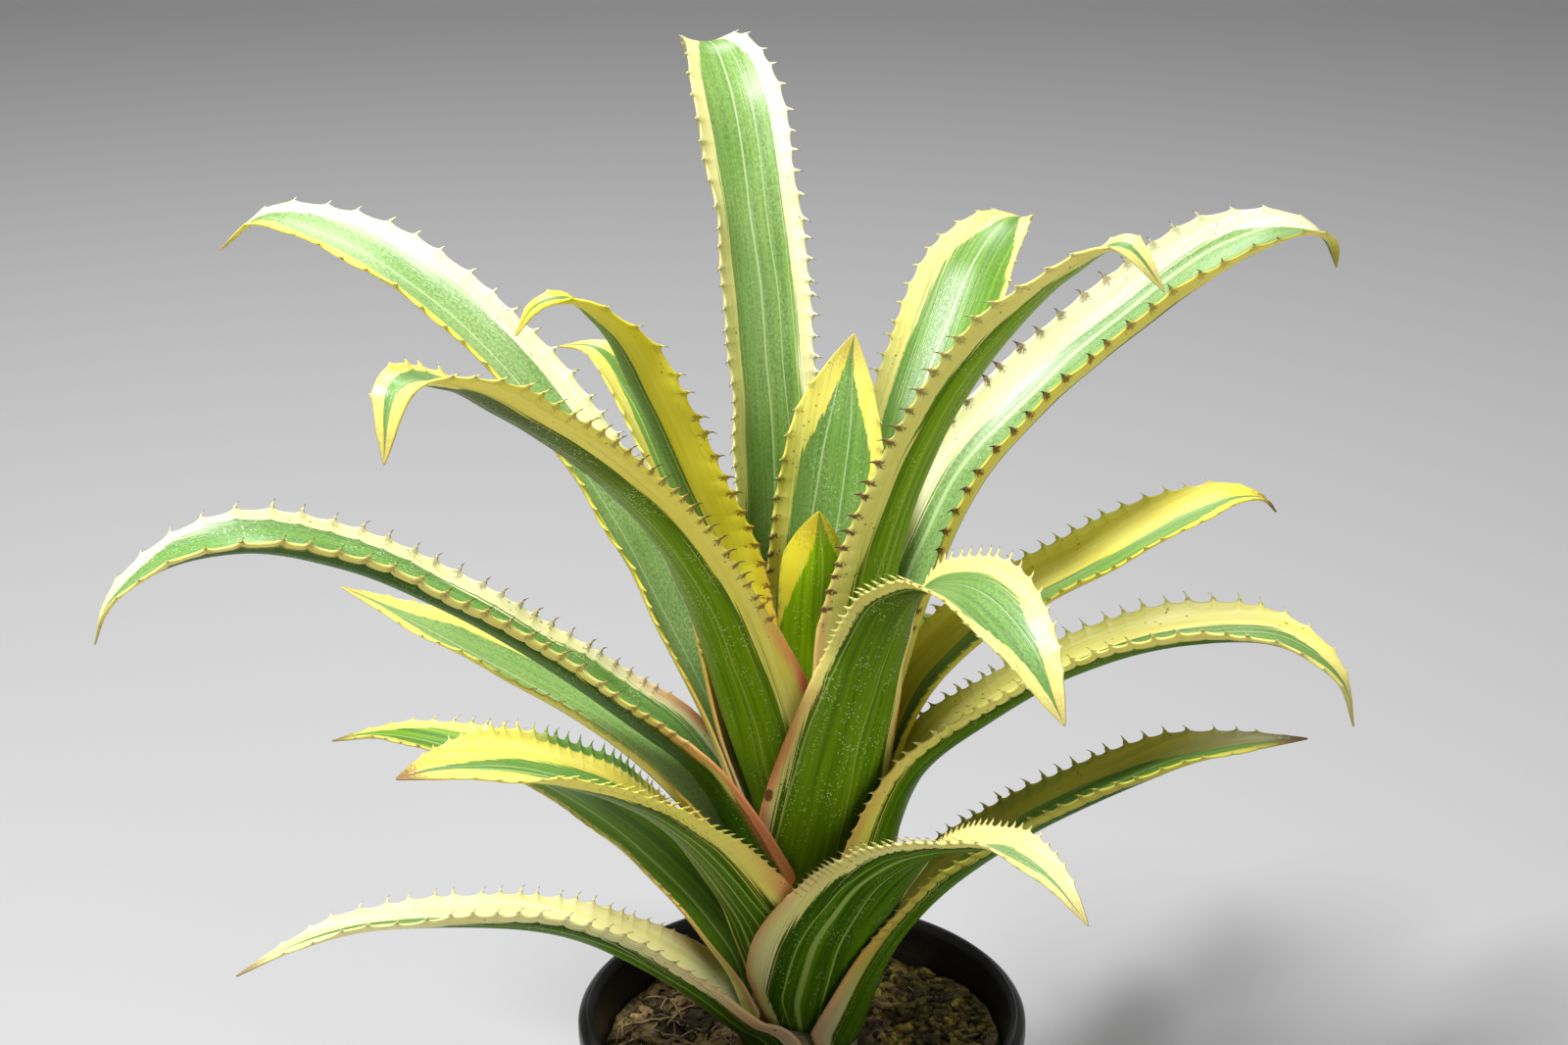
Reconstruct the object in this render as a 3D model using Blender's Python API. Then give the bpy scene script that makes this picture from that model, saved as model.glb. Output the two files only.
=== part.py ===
"""Potted hohenbergia: a variegated tank bromeliad in a plastic nursery pot, 140 mm across the rim.

Frame: metres, +Z up, origin at the centre of the pot's underside, front of the plant towards -Y.
Every leaf is one closed solid with its teeth. It grows from a short stem, wraps round it as a sheath,
and then arches away as a channelled blade. The leaves are listed from the oldest, outermost one to the
youngest one in the heart, so each sheath lies inside the sheath before it.
"""
import bpy
import bmesh
import numpy as np
from math import cos, pi, radians, sin

MM = 0.001

# pot, in millimetres
POT_HEIGHT = 110.0
POT_RIM_RADIUS = 70.0
POT_MOUTH_RADIUS = 66.5
POT_BASE_RADIUS = 50.0
POT_WALL = 1.6
POT_FLOOR = 2.4
POT_LIP_DROP = 9.0
POT_EDGE = 0.8
POT_FOOT_EDGE = 2.0
POT_SIDES = 48
DRAIN_HOLES = 6
DRAIN_RING = 36.0
DRAIN_RADIUS = 5.0
DRAIN_SIDES = 14

# potting mix
SOIL_TOP = 96.0
SOIL_SWELL = 4.0
SOIL_CLEARANCE = 0.3
SOIL_RIM_GAP = 0.9
SOIL_FOOT_EDGE = 3.0
SOIL_RINGS = 9
SOIL_SIDES = 36
STEM_HOLE_DEPTH = 34.0

# stem, hidden by the sheaths
STEM_FOOT_RADIUS = 17.5
STEM_FOOT_EDGE = 4.0
STEM_TAPER = 0.134
STEM_TIP = 188.0
STEM_TIP_EDGE = 2.5
STEM_SIDES = 28

# leaf bases on the stem
ROOT_FIRST = 98.0
ROOT_STEP = 4.2
ROOT_GAP = 0.4
SHEATH_FLARE = 0.30
SHEATH_CURVE = 0.0006
SHEATH_RISES = (0.0, 0.35, 0.7, 1.0)

# leaf section: a channel, wrapped round the stem at the foot and open in the blade
THICK_RIB = 1.2
THICK_EDGE = 0.8
BLADE_FOLD = radians(50)
TIP_FOLD = radians(26)
ROOT_WRAP = radians(55)
SHEATH_WRAP = radians(82)
WRAP_START = 6.0
WRAP_END = 32.0
OUTER_WRAP_LEAD = 40.0
WRAP_LEAD_STEP = 8.0
SHEATH_EASE = 1.03
FOLD_SHARPNESS = 10
SECTION = (-1.0, -0.6, -0.2, 0.2, 0.6, 1.0)
PATH_SAMPLES = 300

# leaf width: the foot of the sheath, the way from sheath to blade, and the tip
FOOT_SHARE = 0.84
NARROWING_START = 0.6
NARROWING_LENGTH = 110.0
FREE_LENGTH = 90.0
TIP_BLUNTNESS = 1.65
TIP_OPENING = 1.4

# teeth of the margin: pyramids that lean towards the leaf's base
TOOTH_BASE = 3.0
TOOTH_HEIGHT = 2.8
TOOTH_HOOK = 0.9
TOOTH_PITCH = 20.0
TOOTH_FREE_FOOT = 18.0
TOOTH_FREE_TIP = 18.0
TOOTH_SMALL_NEAR_TIP = 45.0
TOOTH_SMALL_SHARE = 0.55

# Each row is a leaf: its name, the azimuth it grows to in degrees, its blade's half width, its sheath's
# half width and length, the length over which its tip narrows to a point, how far the tip swings to its
# left, how far the blade rolls its left margin up and how far its sides fold up in degrees, and its midrib
# as (out from the axis, height) in millimetres, from above the sheath to the tip.
LEAVES = (
    ("leaf_01_left_low", 198, 13, 26, 6, 70, 0, 12, 60,
     (27, 111), (39, 123), (55, 136), (74, 148), (109, 158), (141, 161), (158, 158), (174, 152)),
    ("leaf_02_right_low", 348, 16, 25, 14, 62, 0, 0, 56,
     (31, 138), (43, 155), (57, 169), (90, 193), (123, 211), (150, 218)),
    ("leaf_03_left_back_low", 154, 13, 25, 12, 62, 0, 0, 50,
     (32, 134), (46, 146), (64, 157), (80, 164), (96, 169), (114, 172), (134, 173), (154, 171), (172, 165)),
    ("leaf_04_front_low", 294, 16, 29, 24, 84, 20, 0, 50,
     (44, 168), (64, 190), (88, 206), (110, 215), (127, 214), (140, 206)),
    ("leaf_05_back_low", 70, 15, 25, 20, 62, 0, 0, 50,
     (42, 154), (62, 176), (90, 190), (122, 192), (148, 180)),
    ("leaf_06_front_left_low", 224, 19, 28, 28, 56, 0, -8, 50,
     (35, 165), (51, 187), (70, 205), (92, 220), (118, 233), (136, 239), (151, 242)),
    ("leaf_07_back_left_low", 107, 15, 25, 28, 62, 0, 0, 50,
     (42, 178), (56, 200), (84, 220), (114, 224), (142, 212)),
    ("leaf_08_right", 345, 15, 28, 34, 62, 0, 0, 62,
     (39, 199), (58, 217), (84, 236), (116, 249), (143, 251), (158, 241), (163, 227)),
    ("leaf_09_left_hidden", 171, 16, 25, 32, 62, 0, 0, 50,
     (38, 182), (58, 200), (80, 213), (103, 225), (126, 236), (142, 243)),
    ("leaf_10_right_back", 19, 15, 16, 40, 56, 0, 4, 50,
     (32, 202), (41, 217), (52, 227), (62, 234), (76, 239), (92, 245), (110, 253), (128, 260), (142, 263),
     (151, 261), (156, 256)),
    ("leaf_11_left", 192, 15, 26, 40, 62, 0, 0, 68,
     (36, 198), (52, 213), (80, 237), (108, 257), (136, 272), (164, 279), (188, 274), (201, 263), (205, 253)),
    ("leaf_12_back_right", 60, 18, 17, 34, 56, 0, 0, 50,
     (26, 196), (34, 217), (46, 240), (62, 264), (80, 288), (98, 309), (112, 323), (134, 331), (150, 327)),
    ("leaf_13_front", 291, 14, 23, 46, 50, 22, 10, 50,
     (39, 230), (47, 252), (57, 269), (74, 280), (96, 285), (117, 278), (131, 262)),
    ("leaf_14_left_top", 154, 14, 21, 46, 76, 0, -14, 62,
     (45, 234), (59, 259), (82, 289), (105, 311), (132, 328), (160, 339), (187, 341), (203, 329)),
    ("leaf_15_back_left", 148, 15, 20, 46, 50, 0, 0, 50,
     (33, 230), (39, 256), (49, 281), (61, 301), (74, 313), (87, 312)),
    ("leaf_16_right_top", 25, 18, 25, 50, 56, 0, 4, 76,
     (44, 257), (58, 280), (80, 300), (112, 320), (146, 337), (166, 341), (178, 337), (183, 327)),
    ("leaf_17_front_left", 236, 14, 23, 56, 56, 12, 2, 50,
     (39, 244), (57, 274), (82, 303), (110, 327), (142, 350), (168, 366), (186, 371), (194, 355)),
    ("leaf_18_top", 107, 15, 22, 50, 56, 4, 0, 50,
     (26, 262), (30, 300), (38, 335), (50, 366), (65, 388), (80, 397), (94, 394), (104, 384)),
    ("leaf_19_front_right", 326, 17, 25, 54, 62, 0, 0, 50,
     (27, 250), (35, 284), (48, 314), (66, 342), (86, 364), (101, 374), (114, 364)),
    ("leaf_20_upper_left", 212, 15, 23, 52, 56, -2, 6, 50,
     (32, 274), (42, 298), (52, 321), (64, 344), (74, 353), (84, 353), (91, 346)),
    ("leaf_21_heart_back", 78, 16, 20, 40, 36, -9, 0, 50,
     (20, 262), (24, 292), (31, 322)),
    ("leaf_22_heart", 275, 18, 19, 26, 30, 4, 0, 50,
     (9, 238), (9, 262), (6, 279)),
)


def material(name, colour, roughness):
    made = bpy.data.materials.new(name)
    made.use_nodes = True
    shader = made.node_tree.nodes["Principled BSDF"]
    shader.inputs["Base Color"].default_value = (*colour, 1.0)
    shader.inputs["Roughness"].default_value = roughness
    return made


def add_object(name, mesh, surface):
    mesh.materials.append(surface)
    made = bpy.data.objects.new(name, mesh)
    bpy.context.scene.collection.objects.link(made)
    return made


def smooth_path(points):
    """Points at even steps along a smooth curve through the given ones, and their distances along it."""
    given = np.array(points, float)
    knots = np.concatenate([[0.0], np.cumsum(np.linalg.norm(np.diff(given, axis=0), axis=1))])
    slopes = np.gradient(given, knots, axis=0)
    dense = np.linspace(0.0, knots[-1], PATH_SAMPLES)
    left = np.clip(np.searchsorted(knots, dense, side="right") - 1, 0, len(knots) - 2)
    span = (knots[left + 1] - knots[left])[:, None]
    t = (dense - knots[left])[:, None] / span
    curve = ((2 * t**3 - 3 * t**2 + 1) * given[left] + (t**3 - 2 * t**2 + t) * span * slopes[left]
             + (3 * t**2 - 2 * t**3) * given[left + 1] + (t**3 - t**2) * span * slopes[left + 1])
    run = np.concatenate([[0.0], np.cumsum(np.linalg.norm(np.diff(curve, axis=0), axis=1))])
    even = np.linspace(0.0, run[-1], PATH_SAMPLES)
    return np.stack([np.interp(even, run, curve[:, axis]) for axis in range(2)], 1), even


def ease(value, start, end):
    """0 before start and 1 after end, with a smooth change between them."""
    t = np.clip((value - start) / (end - start), 0.0, 1.0)
    return t * t * (3 - 2 * t)


def stem_radius(height):
    return STEM_FOOT_RADIUS - STEM_TAPER * (height - ROOT_FIRST)


class Leaf:
    """The shape of one leaf: its midrib, its frame along the midrib, its half width and its fold."""

    def __init__(self, index, azimuth, blade, sheath, mouth, taper, swing, roll, fold, points):
        root = ROOT_FIRST + ROOT_STEP * index
        foot = stem_radius(root) + ROOT_GAP + THICK_RIB / 2
        nested = [(foot + SHEATH_FLARE * rise + SHEATH_CURVE * rise**2, root + rise)
                  for rise in (mouth * part for part in SHEATH_RISES)]
        plane, self.run = smooth_path(nested + list(points))
        self.length = self.run[-1]
        self.mouth = mouth
        out = plane[:, 0]
        sway = swing * (self.run / self.length)**2
        outward = np.array([cos(radians(azimuth)), sin(radians(azimuth)), 0.0])
        leftward = np.array([-outward[1], outward[0], 0.0])
        upward = np.array([0.0, 0.0, 1.0])
        self.rib = out[:, None] * outward + sway[:, None] * leftward + plane[:, 1:] * upward
        along = np.gradient(self.rib, self.run, axis=0)
        self.along = along / np.linalg.norm(along, axis=1)[:, None]
        side = leftward - (self.along @ leftward)[:, None] * self.along
        side /= np.linalg.norm(side, axis=1)[:, None]
        inner = np.cross(self.along, side)
        freed = ease(self.run, mouth, mouth + FREE_LENGTH)
        turn = radians(roll) * freed[:, None]
        self.side = side * np.cos(turn) + inner * np.sin(turn)
        self.inner = inner * np.cos(turn) - side * np.sin(turn)
        lead = max(0.0, OUTER_WRAP_LEAD - WRAP_LEAD_STEP * index)
        widest = ROOT_WRAP + (SHEATH_WRAP - ROOT_WRAP) * ease(self.run + lead, WRAP_START, WRAP_END)
        self.half = np.minimum(self.half_width(blade, sheath, taper), widest * out)
        wrap = self.half / (out * SHEATH_EASE)
        open_tip = ease(self.run, self.length - taper * TIP_OPENING, self.length)
        folded = BLADE_FOLD + (radians(fold) - BLADE_FOLD) * freed
        opened = folded + (TIP_FOLD - folded) * open_tip
        self.fold = (opened**FOLD_SHARPNESS + wrap**FOLD_SHARPNESS)**(1 / FOLD_SHARPNESS)

    def half_width(self, blade, sheath, taper):
        swelling = ease(self.run, 0.0, self.mouth / 2)
        start = self.mouth * NARROWING_START
        narrowing = ease(self.run, start, start + NARROWING_LENGTH)
        body = (FOOT_SHARE + (1 - FOOT_SHARE) * swelling) * sheath + narrowing * (blade - sheath)
        left = np.clip((self.length - self.run) / taper, 0.0, 1.0)
        return body * np.maximum(1 - (1 - left)**TIP_BLUNTNESS, 0.0)

    def at(self, distance, field):
        values = getattr(self, field)
        if values.ndim == 1:
            return float(np.interp(distance, self.run, values))
        return np.array([np.interp(distance, self.run, values[:, axis]) for axis in range(3)])

    def section(self, distance):
        """The upper and the lower points of the blade across it, from its right to its left margin."""
        rib, side, inner = (self.at(distance, field) for field in ("rib", "side", "inner"))
        half, fold = self.at(distance, "half"), self.at(distance, "fold")
        upper, lower = [], []
        for u in SECTION:
            turn = fold * u
            middle = rib + side * (half / fold * sin(turn)) + inner * (half / fold * (1 - cos(turn)))
            normal = inner * cos(turn) - side * sin(turn)
            thick = THICK_RIB + (THICK_EDGE - THICK_RIB) * abs(u)**1.5
            upper.append(middle + normal * thick / 2)
            lower.append(middle - normal * thick / 2)
        return upper, lower

    def edge_outward(self, distance, u):
        """The direction in which the margin's teeth stand, at the right (-1) or left (1) margin."""
        side, inner, fold = self.at(distance, "side"), self.at(distance, "inner"), self.at(distance, "fold")
        return side * (cos(fold) * u) + inner * sin(fold)


def leaf_stations(leaf):
    """Distances of the cross-sections, and which gaps between them carry a tooth on each margin."""
    first = leaf.mouth + TOOTH_FREE_FOOT
    last = leaf.length - TOOTH_FREE_TIP
    teeth = max(2, round((last - first) / TOOTH_PITCH))
    stations = [0.0, leaf.mouth * 0.4, leaf.mouth * 0.8, leaf.mouth + TOOTH_FREE_FOOT * 0.45]
    toothed = set()
    for place in np.linspace(first, last, teeth):
        toothed.add(len(stations))
        stations += [place - TOOTH_BASE / 2, place + TOOTH_BASE / 2]
    stations += [leaf.length - TOOTH_FREE_TIP / 2, leaf.length - TOOTH_FREE_TIP / 6]
    return stations, toothed


def leaf_mesh(name, leaf):
    """One closed blade. Both faces are split into the same triangles, and each tooth is a pyramid."""
    stations, toothed = leaf_stations(leaf)
    mesh = bpy.data.meshes.new(name)
    shape = bmesh.new()
    rows = []
    for distance in stations:
        upper, lower = leaf.section(distance)
        rows.append(([shape.verts.new(point * MM) for point in upper],
                     [shape.verts.new(point * MM) for point in lower]))
    last = len(SECTION) - 1
    for row in range(len(rows) - 1):
        (upper, lower), (upper_next, lower_next) = rows[row], rows[row + 1]
        for k in range(last):
            shape.faces.new((upper[k], upper_next[k], upper_next[k + 1]))
            shape.faces.new((upper[k], upper_next[k + 1], upper[k + 1]))
            shape.faces.new((lower[k], lower_next[k + 1], lower_next[k]))
            shape.faces.new((lower[k], lower[k + 1], lower_next[k + 1]))
        for u, k in ((-1, 0), (1, last)):
            ring = [upper[k], lower[k], lower_next[k], upper_next[k]]
            if u > 0:
                ring.reverse()
            if row in toothed:
                middle = (stations[row] + stations[row + 1]) / 2
                centre = sum((np.array(vertex.co) for vertex in ring), np.zeros(3)) / 4
                full = min(1.0, (leaf.length - middle) / TOOTH_SMALL_NEAR_TIP)
                height = TOOTH_HEIGHT * (TOOTH_SMALL_SHARE + (1 - TOOTH_SMALL_SHARE) * full)
                point = centre + MM * (height * leaf.edge_outward(middle, u)
                                       - TOOTH_HOOK * leaf.at(middle, "along"))
                apex = shape.verts.new(point)
                for a, b in zip(ring, ring[1:] + ring[:1]):
                    shape.faces.new((a, b, apex))
            else:
                shape.faces.new(ring[:3])
                shape.faces.new((ring[0], ring[2], ring[3]))
    upper, lower = rows[0]
    for k in range(last):
        shape.faces.new((upper[k], upper[k + 1], lower[k + 1]))
        shape.faces.new((upper[k], lower[k + 1], lower[k]))
    upper, lower = rows[-1]
    apex = shape.verts.new(leaf.at(leaf.length, "rib") * MM)
    for k in range(last):
        shape.faces.new((upper[k], apex, upper[k + 1]))
        shape.faces.new((lower[k], lower[k + 1], apex))
    shape.faces.new((upper[0], lower[0], apex))
    shape.faces.new((lower[last], upper[last], apex))
    bmesh.ops.recalc_face_normals(shape, faces=shape.faces)
    shape.to_mesh(mesh)
    shape.free()
    return mesh


def turned(name, profile, sides):
    """A solid of revolution round Z from a closed profile of (radius, height) points in millimetres."""
    mesh = bpy.data.meshes.new(name)
    shape = bmesh.new()
    turns = [2 * pi * k / sides for k in range(sides)]
    rings = []
    for radius, height in profile:
        if radius == 0.0:
            rings.append([shape.verts.new((0.0, 0.0, height * MM))])
        else:
            rings.append([shape.verts.new((radius * cos(a) * MM, radius * sin(a) * MM, height * MM))
                          for a in turns])
    for lower, upper in zip(rings, rings[1:]):
        for k in range(sides):
            ends = [lower[k % len(lower)], lower[(k + 1) % len(lower)],
                    upper[(k + 1) % len(upper)], upper[k % len(upper)]]
            corners = list(dict.fromkeys(ends))
            if len(corners) > 2:
                shape.faces.new(corners)
    bmesh.ops.recalc_face_normals(shape, faces=shape.faces)
    shape.to_mesh(mesh)
    shape.free()
    mesh.shade_smooth()
    mesh.set_sharp_from_angle(angle=radians(35))
    return mesh


def pot_wall_radius(height):
    """The outer radius of the tapered wall at a height."""
    return POT_BASE_RADIUS + (POT_MOUTH_RADIUS - POT_BASE_RADIUS) * height / POT_HEIGHT


def make_pot():
    """A tapered shell with a flat base, a turned-out lip and drain holes cut through its floor."""
    lip_foot = POT_HEIGHT - POT_LIP_DROP
    inside_foot = POT_FLOOR + POT_FOOT_EDGE
    profile = [(0.0, 0.0), (POT_BASE_RADIUS - POT_FOOT_EDGE, 0.0), (POT_BASE_RADIUS, POT_FOOT_EDGE),
               (pot_wall_radius(lip_foot), lip_foot), (POT_RIM_RADIUS - POT_EDGE, lip_foot),
               (POT_RIM_RADIUS, lip_foot + POT_EDGE), (POT_RIM_RADIUS, POT_HEIGHT - POT_EDGE),
               (POT_RIM_RADIUS - POT_EDGE, POT_HEIGHT), (POT_MOUTH_RADIUS - POT_EDGE, POT_HEIGHT),
               (pot_wall_radius(POT_HEIGHT) - POT_WALL, POT_HEIGHT - POT_EDGE),
               (pot_wall_radius(inside_foot) - POT_WALL, inside_foot),
               (pot_wall_radius(POT_FLOOR) - POT_WALL - POT_FOOT_EDGE, POT_FLOOR), (0.0, POT_FLOOR)]
    black = material("black plastic", (0.012, 0.012, 0.013), 0.45)
    pot = add_object("pot", turned("pot", profile, POT_SIDES), black)
    drill = [(0.0, -POT_FLOOR), (DRAIN_RADIUS, -POT_FLOOR), (DRAIN_RADIUS, 2 * POT_FLOOR),
             (0.0, 2 * POT_FLOOR)]
    for k in range(DRAIN_HOLES):
        turn = 2 * pi * (k + 0.5) / DRAIN_HOLES
        cutter = add_object(f"drain_cutter_{k + 1}", turned("drill", drill, DRAIN_SIDES), black)
        cutter.location = (DRAIN_RING * cos(turn) * MM, DRAIN_RING * sin(turn) * MM, 0.0)
        cutter.hide_render = True
        cutter.display_type = "WIRE"
        cut = pot.modifiers.new(f"drain_{k + 1}", "BOOLEAN")
        cut.operation = "DIFFERENCE"
        cut.object = cutter


def soil_height(radius, angle):
    """The uneven top of the mix: a mound at the right, lower at the left, level at the stem."""
    away = ease(radius, STEM_FOOT_RADIUS + 4.0, STEM_FOOT_RADIUS + 16.0)
    lumps = 0.5 * sin(angle + 0.6) * cos(2 * angle) + 0.35 * sin(3 * angle + radius * 0.12)
    return SOIL_TOP + SOIL_SWELL * away * (0.35 * cos(angle + 0.5) + 0.45 * lumps)


def make_soil():
    """The mix fills the pot and has a plain hole in which the stem's foot stands."""
    mesh = bpy.data.meshes.new("potting_mix")
    shape = bmesh.new()
    angles = [2 * pi * k / SOIL_SIDES for k in range(SOIL_SIDES)]

    def ring(radius, height_at):
        return [shape.verts.new((radius * cos(a) * MM, radius * sin(a) * MM, height_at(a) * MM))
                for a in angles]

    hole = STEM_FOOT_RADIUS + SOIL_CLEARANCE
    hole_floor = SOIL_TOP - STEM_HOLE_DEPTH
    rim = pot_wall_radius(SOIL_TOP) - POT_WALL - SOIL_RIM_GAP
    floor = POT_FLOOR + SOIL_CLEARANCE
    foot = pot_wall_radius(floor + SOIL_FOOT_EDGE) - POT_WALL - SOIL_CLEARANCE
    rings = [ring(foot - SOIL_FOOT_EDGE, lambda a: floor), ring(foot, lambda a: floor + SOIL_FOOT_EDGE)]
    for radius in np.linspace(rim, hole, SOIL_RINGS):
        rings.append(ring(radius, lambda a, r=radius: soil_height(r, a)))
    rings.append(ring(hole, lambda a: hole_floor))
    for lower, upper in zip(rings, rings[1:]):
        for k in range(SOIL_SIDES):
            n = (k + 1) % SOIL_SIDES
            shape.faces.new((lower[k], lower[n], upper[n]))
            shape.faces.new((lower[k], upper[n], upper[k]))
    shape.faces.new(rings[0])
    shape.faces.new(rings[-1])
    bmesh.ops.recalc_face_normals(shape, faces=shape.faces)
    shape.to_mesh(mesh)
    shape.free()
    add_object("potting_mix", mesh, material("potting mix", (0.030, 0.019, 0.011), 0.95))


def make_stem():
    foot = SOIL_TOP - STEM_HOLE_DEPTH + SOIL_CLEARANCE
    shoulder = STEM_TIP - STEM_TIP_EDGE
    profile = [(0.0, foot), (STEM_FOOT_RADIUS - STEM_FOOT_EDGE, foot),
               (STEM_FOOT_RADIUS, foot + STEM_FOOT_EDGE), (STEM_FOOT_RADIUS, ROOT_FIRST),
               (stem_radius(shoulder), shoulder), (stem_radius(shoulder) - STEM_TIP_EDGE, STEM_TIP),
               (0.0, STEM_TIP)]
    add_object("stem", turned("stem", profile, STEM_SIDES), material("stem", (0.35, 0.36, 0.18), 0.7))


def make_leaves():
    green = material("leaf", (0.10, 0.26, 0.05), 0.45)
    for index, (name, *sizes) in enumerate(LEAVES):
        leaf = Leaf(index, *sizes[:8], sizes[8:])
        add_object(name, leaf_mesh(name, leaf), green)


def main():
    for old in list(bpy.data.objects):
        bpy.data.objects.remove(old, do_unlink=True)
    make_pot()
    make_soil()
    make_stem()
    make_leaves()


main()
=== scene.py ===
"""The dressed potted hohenbergia: fine spiny leaves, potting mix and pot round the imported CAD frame."""
import bpy
import bmesh
import numpy as np
from functools import partialmethod
from math import cos, pi, radians, sin
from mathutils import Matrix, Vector
from mathutils.noise import fractal


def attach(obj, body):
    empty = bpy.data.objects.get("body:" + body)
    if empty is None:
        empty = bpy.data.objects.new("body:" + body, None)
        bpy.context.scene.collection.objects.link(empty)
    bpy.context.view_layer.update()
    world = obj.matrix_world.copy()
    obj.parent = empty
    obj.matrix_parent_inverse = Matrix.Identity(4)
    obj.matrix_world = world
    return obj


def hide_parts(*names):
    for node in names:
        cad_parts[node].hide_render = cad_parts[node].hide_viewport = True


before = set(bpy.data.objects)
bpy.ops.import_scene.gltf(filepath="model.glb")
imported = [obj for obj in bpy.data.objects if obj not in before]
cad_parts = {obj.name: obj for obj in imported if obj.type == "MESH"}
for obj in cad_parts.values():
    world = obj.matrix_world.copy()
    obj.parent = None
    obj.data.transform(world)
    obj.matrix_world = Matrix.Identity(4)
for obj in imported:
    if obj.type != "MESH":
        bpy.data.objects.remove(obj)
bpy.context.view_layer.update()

from types import SimpleNamespace

MM = 0.001

# pot, potting mix and stem: heights, radii and sides, in millimetres
POT_HEIGHT, POT_RIM, POT_MOUTH, POT_BASE = 110.0, 70.0, 66.5, 50.0
POT_WALL, POT_FLOOR, POT_LIP_DROP = 1.6, 2.4, 9.0
POT_SIDES, POT_ROUNDING, POT_SHARP_ANGLE = 168, 1.1, radians(32)
DRAIN_HOLES, DRAIN_RING, DRAIN_RADIUS, DRAIN_SIDES = 6, 36.0, 5.0, 28
SOIL_TOP, SOIL_SWELL, SOIL_HOLE_DEPTH, SOIL_PLAY = 96.0, 4.0, 34.0, 0.3
SOIL_SIDES, SOIL_RINGS = 192, 52
STEM_FOOT, STEM_TAPER = 17.5, 0.134

# leaf shape, as in the CAD source
ROOT_FIRST, ROOT_STEP, ROOT_GAP = 98.0, 4.2, 0.4
SHEATH_FLARE, SHEATH_CURVE, SHEATH_RISES = 0.3, 0.0006, (0.0, 0.35, 0.7, 1.0)
THICK_RIB, THICK_EDGE = 1.2, 0.8
BLADE_FOLD, TIP_FOLD, ROOT_WRAP, SHEATH_WRAP = radians(50), radians(26), radians(55), radians(82)
WRAP_START, WRAP_END, OUTER_WRAP_LEAD, WRAP_LEAD_STEP = 6.0, 32.0, 40.0, 8.0
SHEATH_EASE, FOLD_SHARPNESS, PATH_SAMPLES = 1.03, 10, 300
FOOT_SHARE, NARROWING_START, NARROWING_LENGTH, FREE_LENGTH = 0.84, 0.6, 110.0, 90.0
TIP_BLUNTNESS, TIP_OPENING = 1.65, 1.4

# fine margin: places across the blade, from spine to spine, and from the last one to the tip
ACROSS = (0.0, 0.16, 0.32, 0.46, 0.6, 0.72, 0.82, 0.9, 0.96, 1.0)
TOOTH_STEPS = (0.0, 0.08, 0.2, 0.4, 0.6, 0.8, 0.92)
TIP_STEPS = (0.0, 0.12, 0.3, 0.5, 0.7, 0.86, 0.95)
FOOT_LINES, LAST_SPINE = 20, 7.0
FLARE_POWER, FLARE_HEIGHT, FLARE_DIP, FLARE_CURL = 3.6, 1.45, 0.45, 0.3
WAVE_LENGTHS, WAVE_HEIGHT, EDGE_BULGE = (27, 43, 71), 0.34, 0.28

# spines: rings as (place along the spine, half width, half thickness)
SPINE_RINGS = ((0.0, 0.85, 0.3), (0.32, 0.38, 0.24), (0.62, 0.2, 0.16), (0.85, 0.1, 0.09))
SPINE_LENGTH, SPINE_SPARE, SPINE_SWEEP, SPINE_SINK = 2.35, 0.5, 1.7, 0.5
TUBE_SIDES = 6
TUBE_TURNS = tuple(2 * pi * k / TUBE_SIDES for k in range(TUBE_SIDES))

LEAF_SEED, CRUMB_SEED, FIBRE_SEED = 7100, 420, 86

# leaf colours; a pair is blended by the leaf's look (lighter or darker below, the darker partly painted
# shade; cool or warm; cream or lemon)
UNDER_BRIGHT = (0.24, 0.4, 0.004), (0.075, 0.18, 0.002)
UNDER_DARK = (0.13, 0.26, 0.002), (0.024, 0.078, 0.001)
ABOVE_DARK = (0.046, 0.16, 0.014), (0.07, 0.18, 0.004)
ABOVE_BRIGHT = (0.11, 0.29, 0.028), (0.19, 0.38, 0.01)
MARGIN_PALE = (0.88, 0.86, 0.64), (0.9, 0.79, 0.1)
MARGIN_RIPE = (0.82, 0.79, 0.46), (0.8, 0.68, 0.03)
FAR_PAINTED_SHADE, FROST, FLECK, SCURF = (0.03, 0.052, 0.003), (0.37, 0.5, 0.215), (0.72, 0.82, 0.48), (0.6, 0.7, 0.46)
LINE_UNDER, LINE_ABOVE = (0.34, 0.46, 0.1), (0.55, 0.68, 0.36)
STAIN, MARGIN_PAINTED_SHADE = (0.42, 0.52, 0.09), (0.2, 0.22, 0.012)
SHEATH_WHITE, BLUSH, FRECKLE = (0.8, 0.76, 0.5), (0.76, 0.17, 0.12), (0.16, 0.065, 0.018)
SPOT, DRY_TIP, BRUISE = (0.085, 0.03, 0.012), (0.22, 0.1, 0.035), (0.13, 0.045, 0.018)
SPINE_BLACK, SPINE_BROWN = (0.035, 0.014, 0.009), (0.1, 0.05, 0.02)

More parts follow.
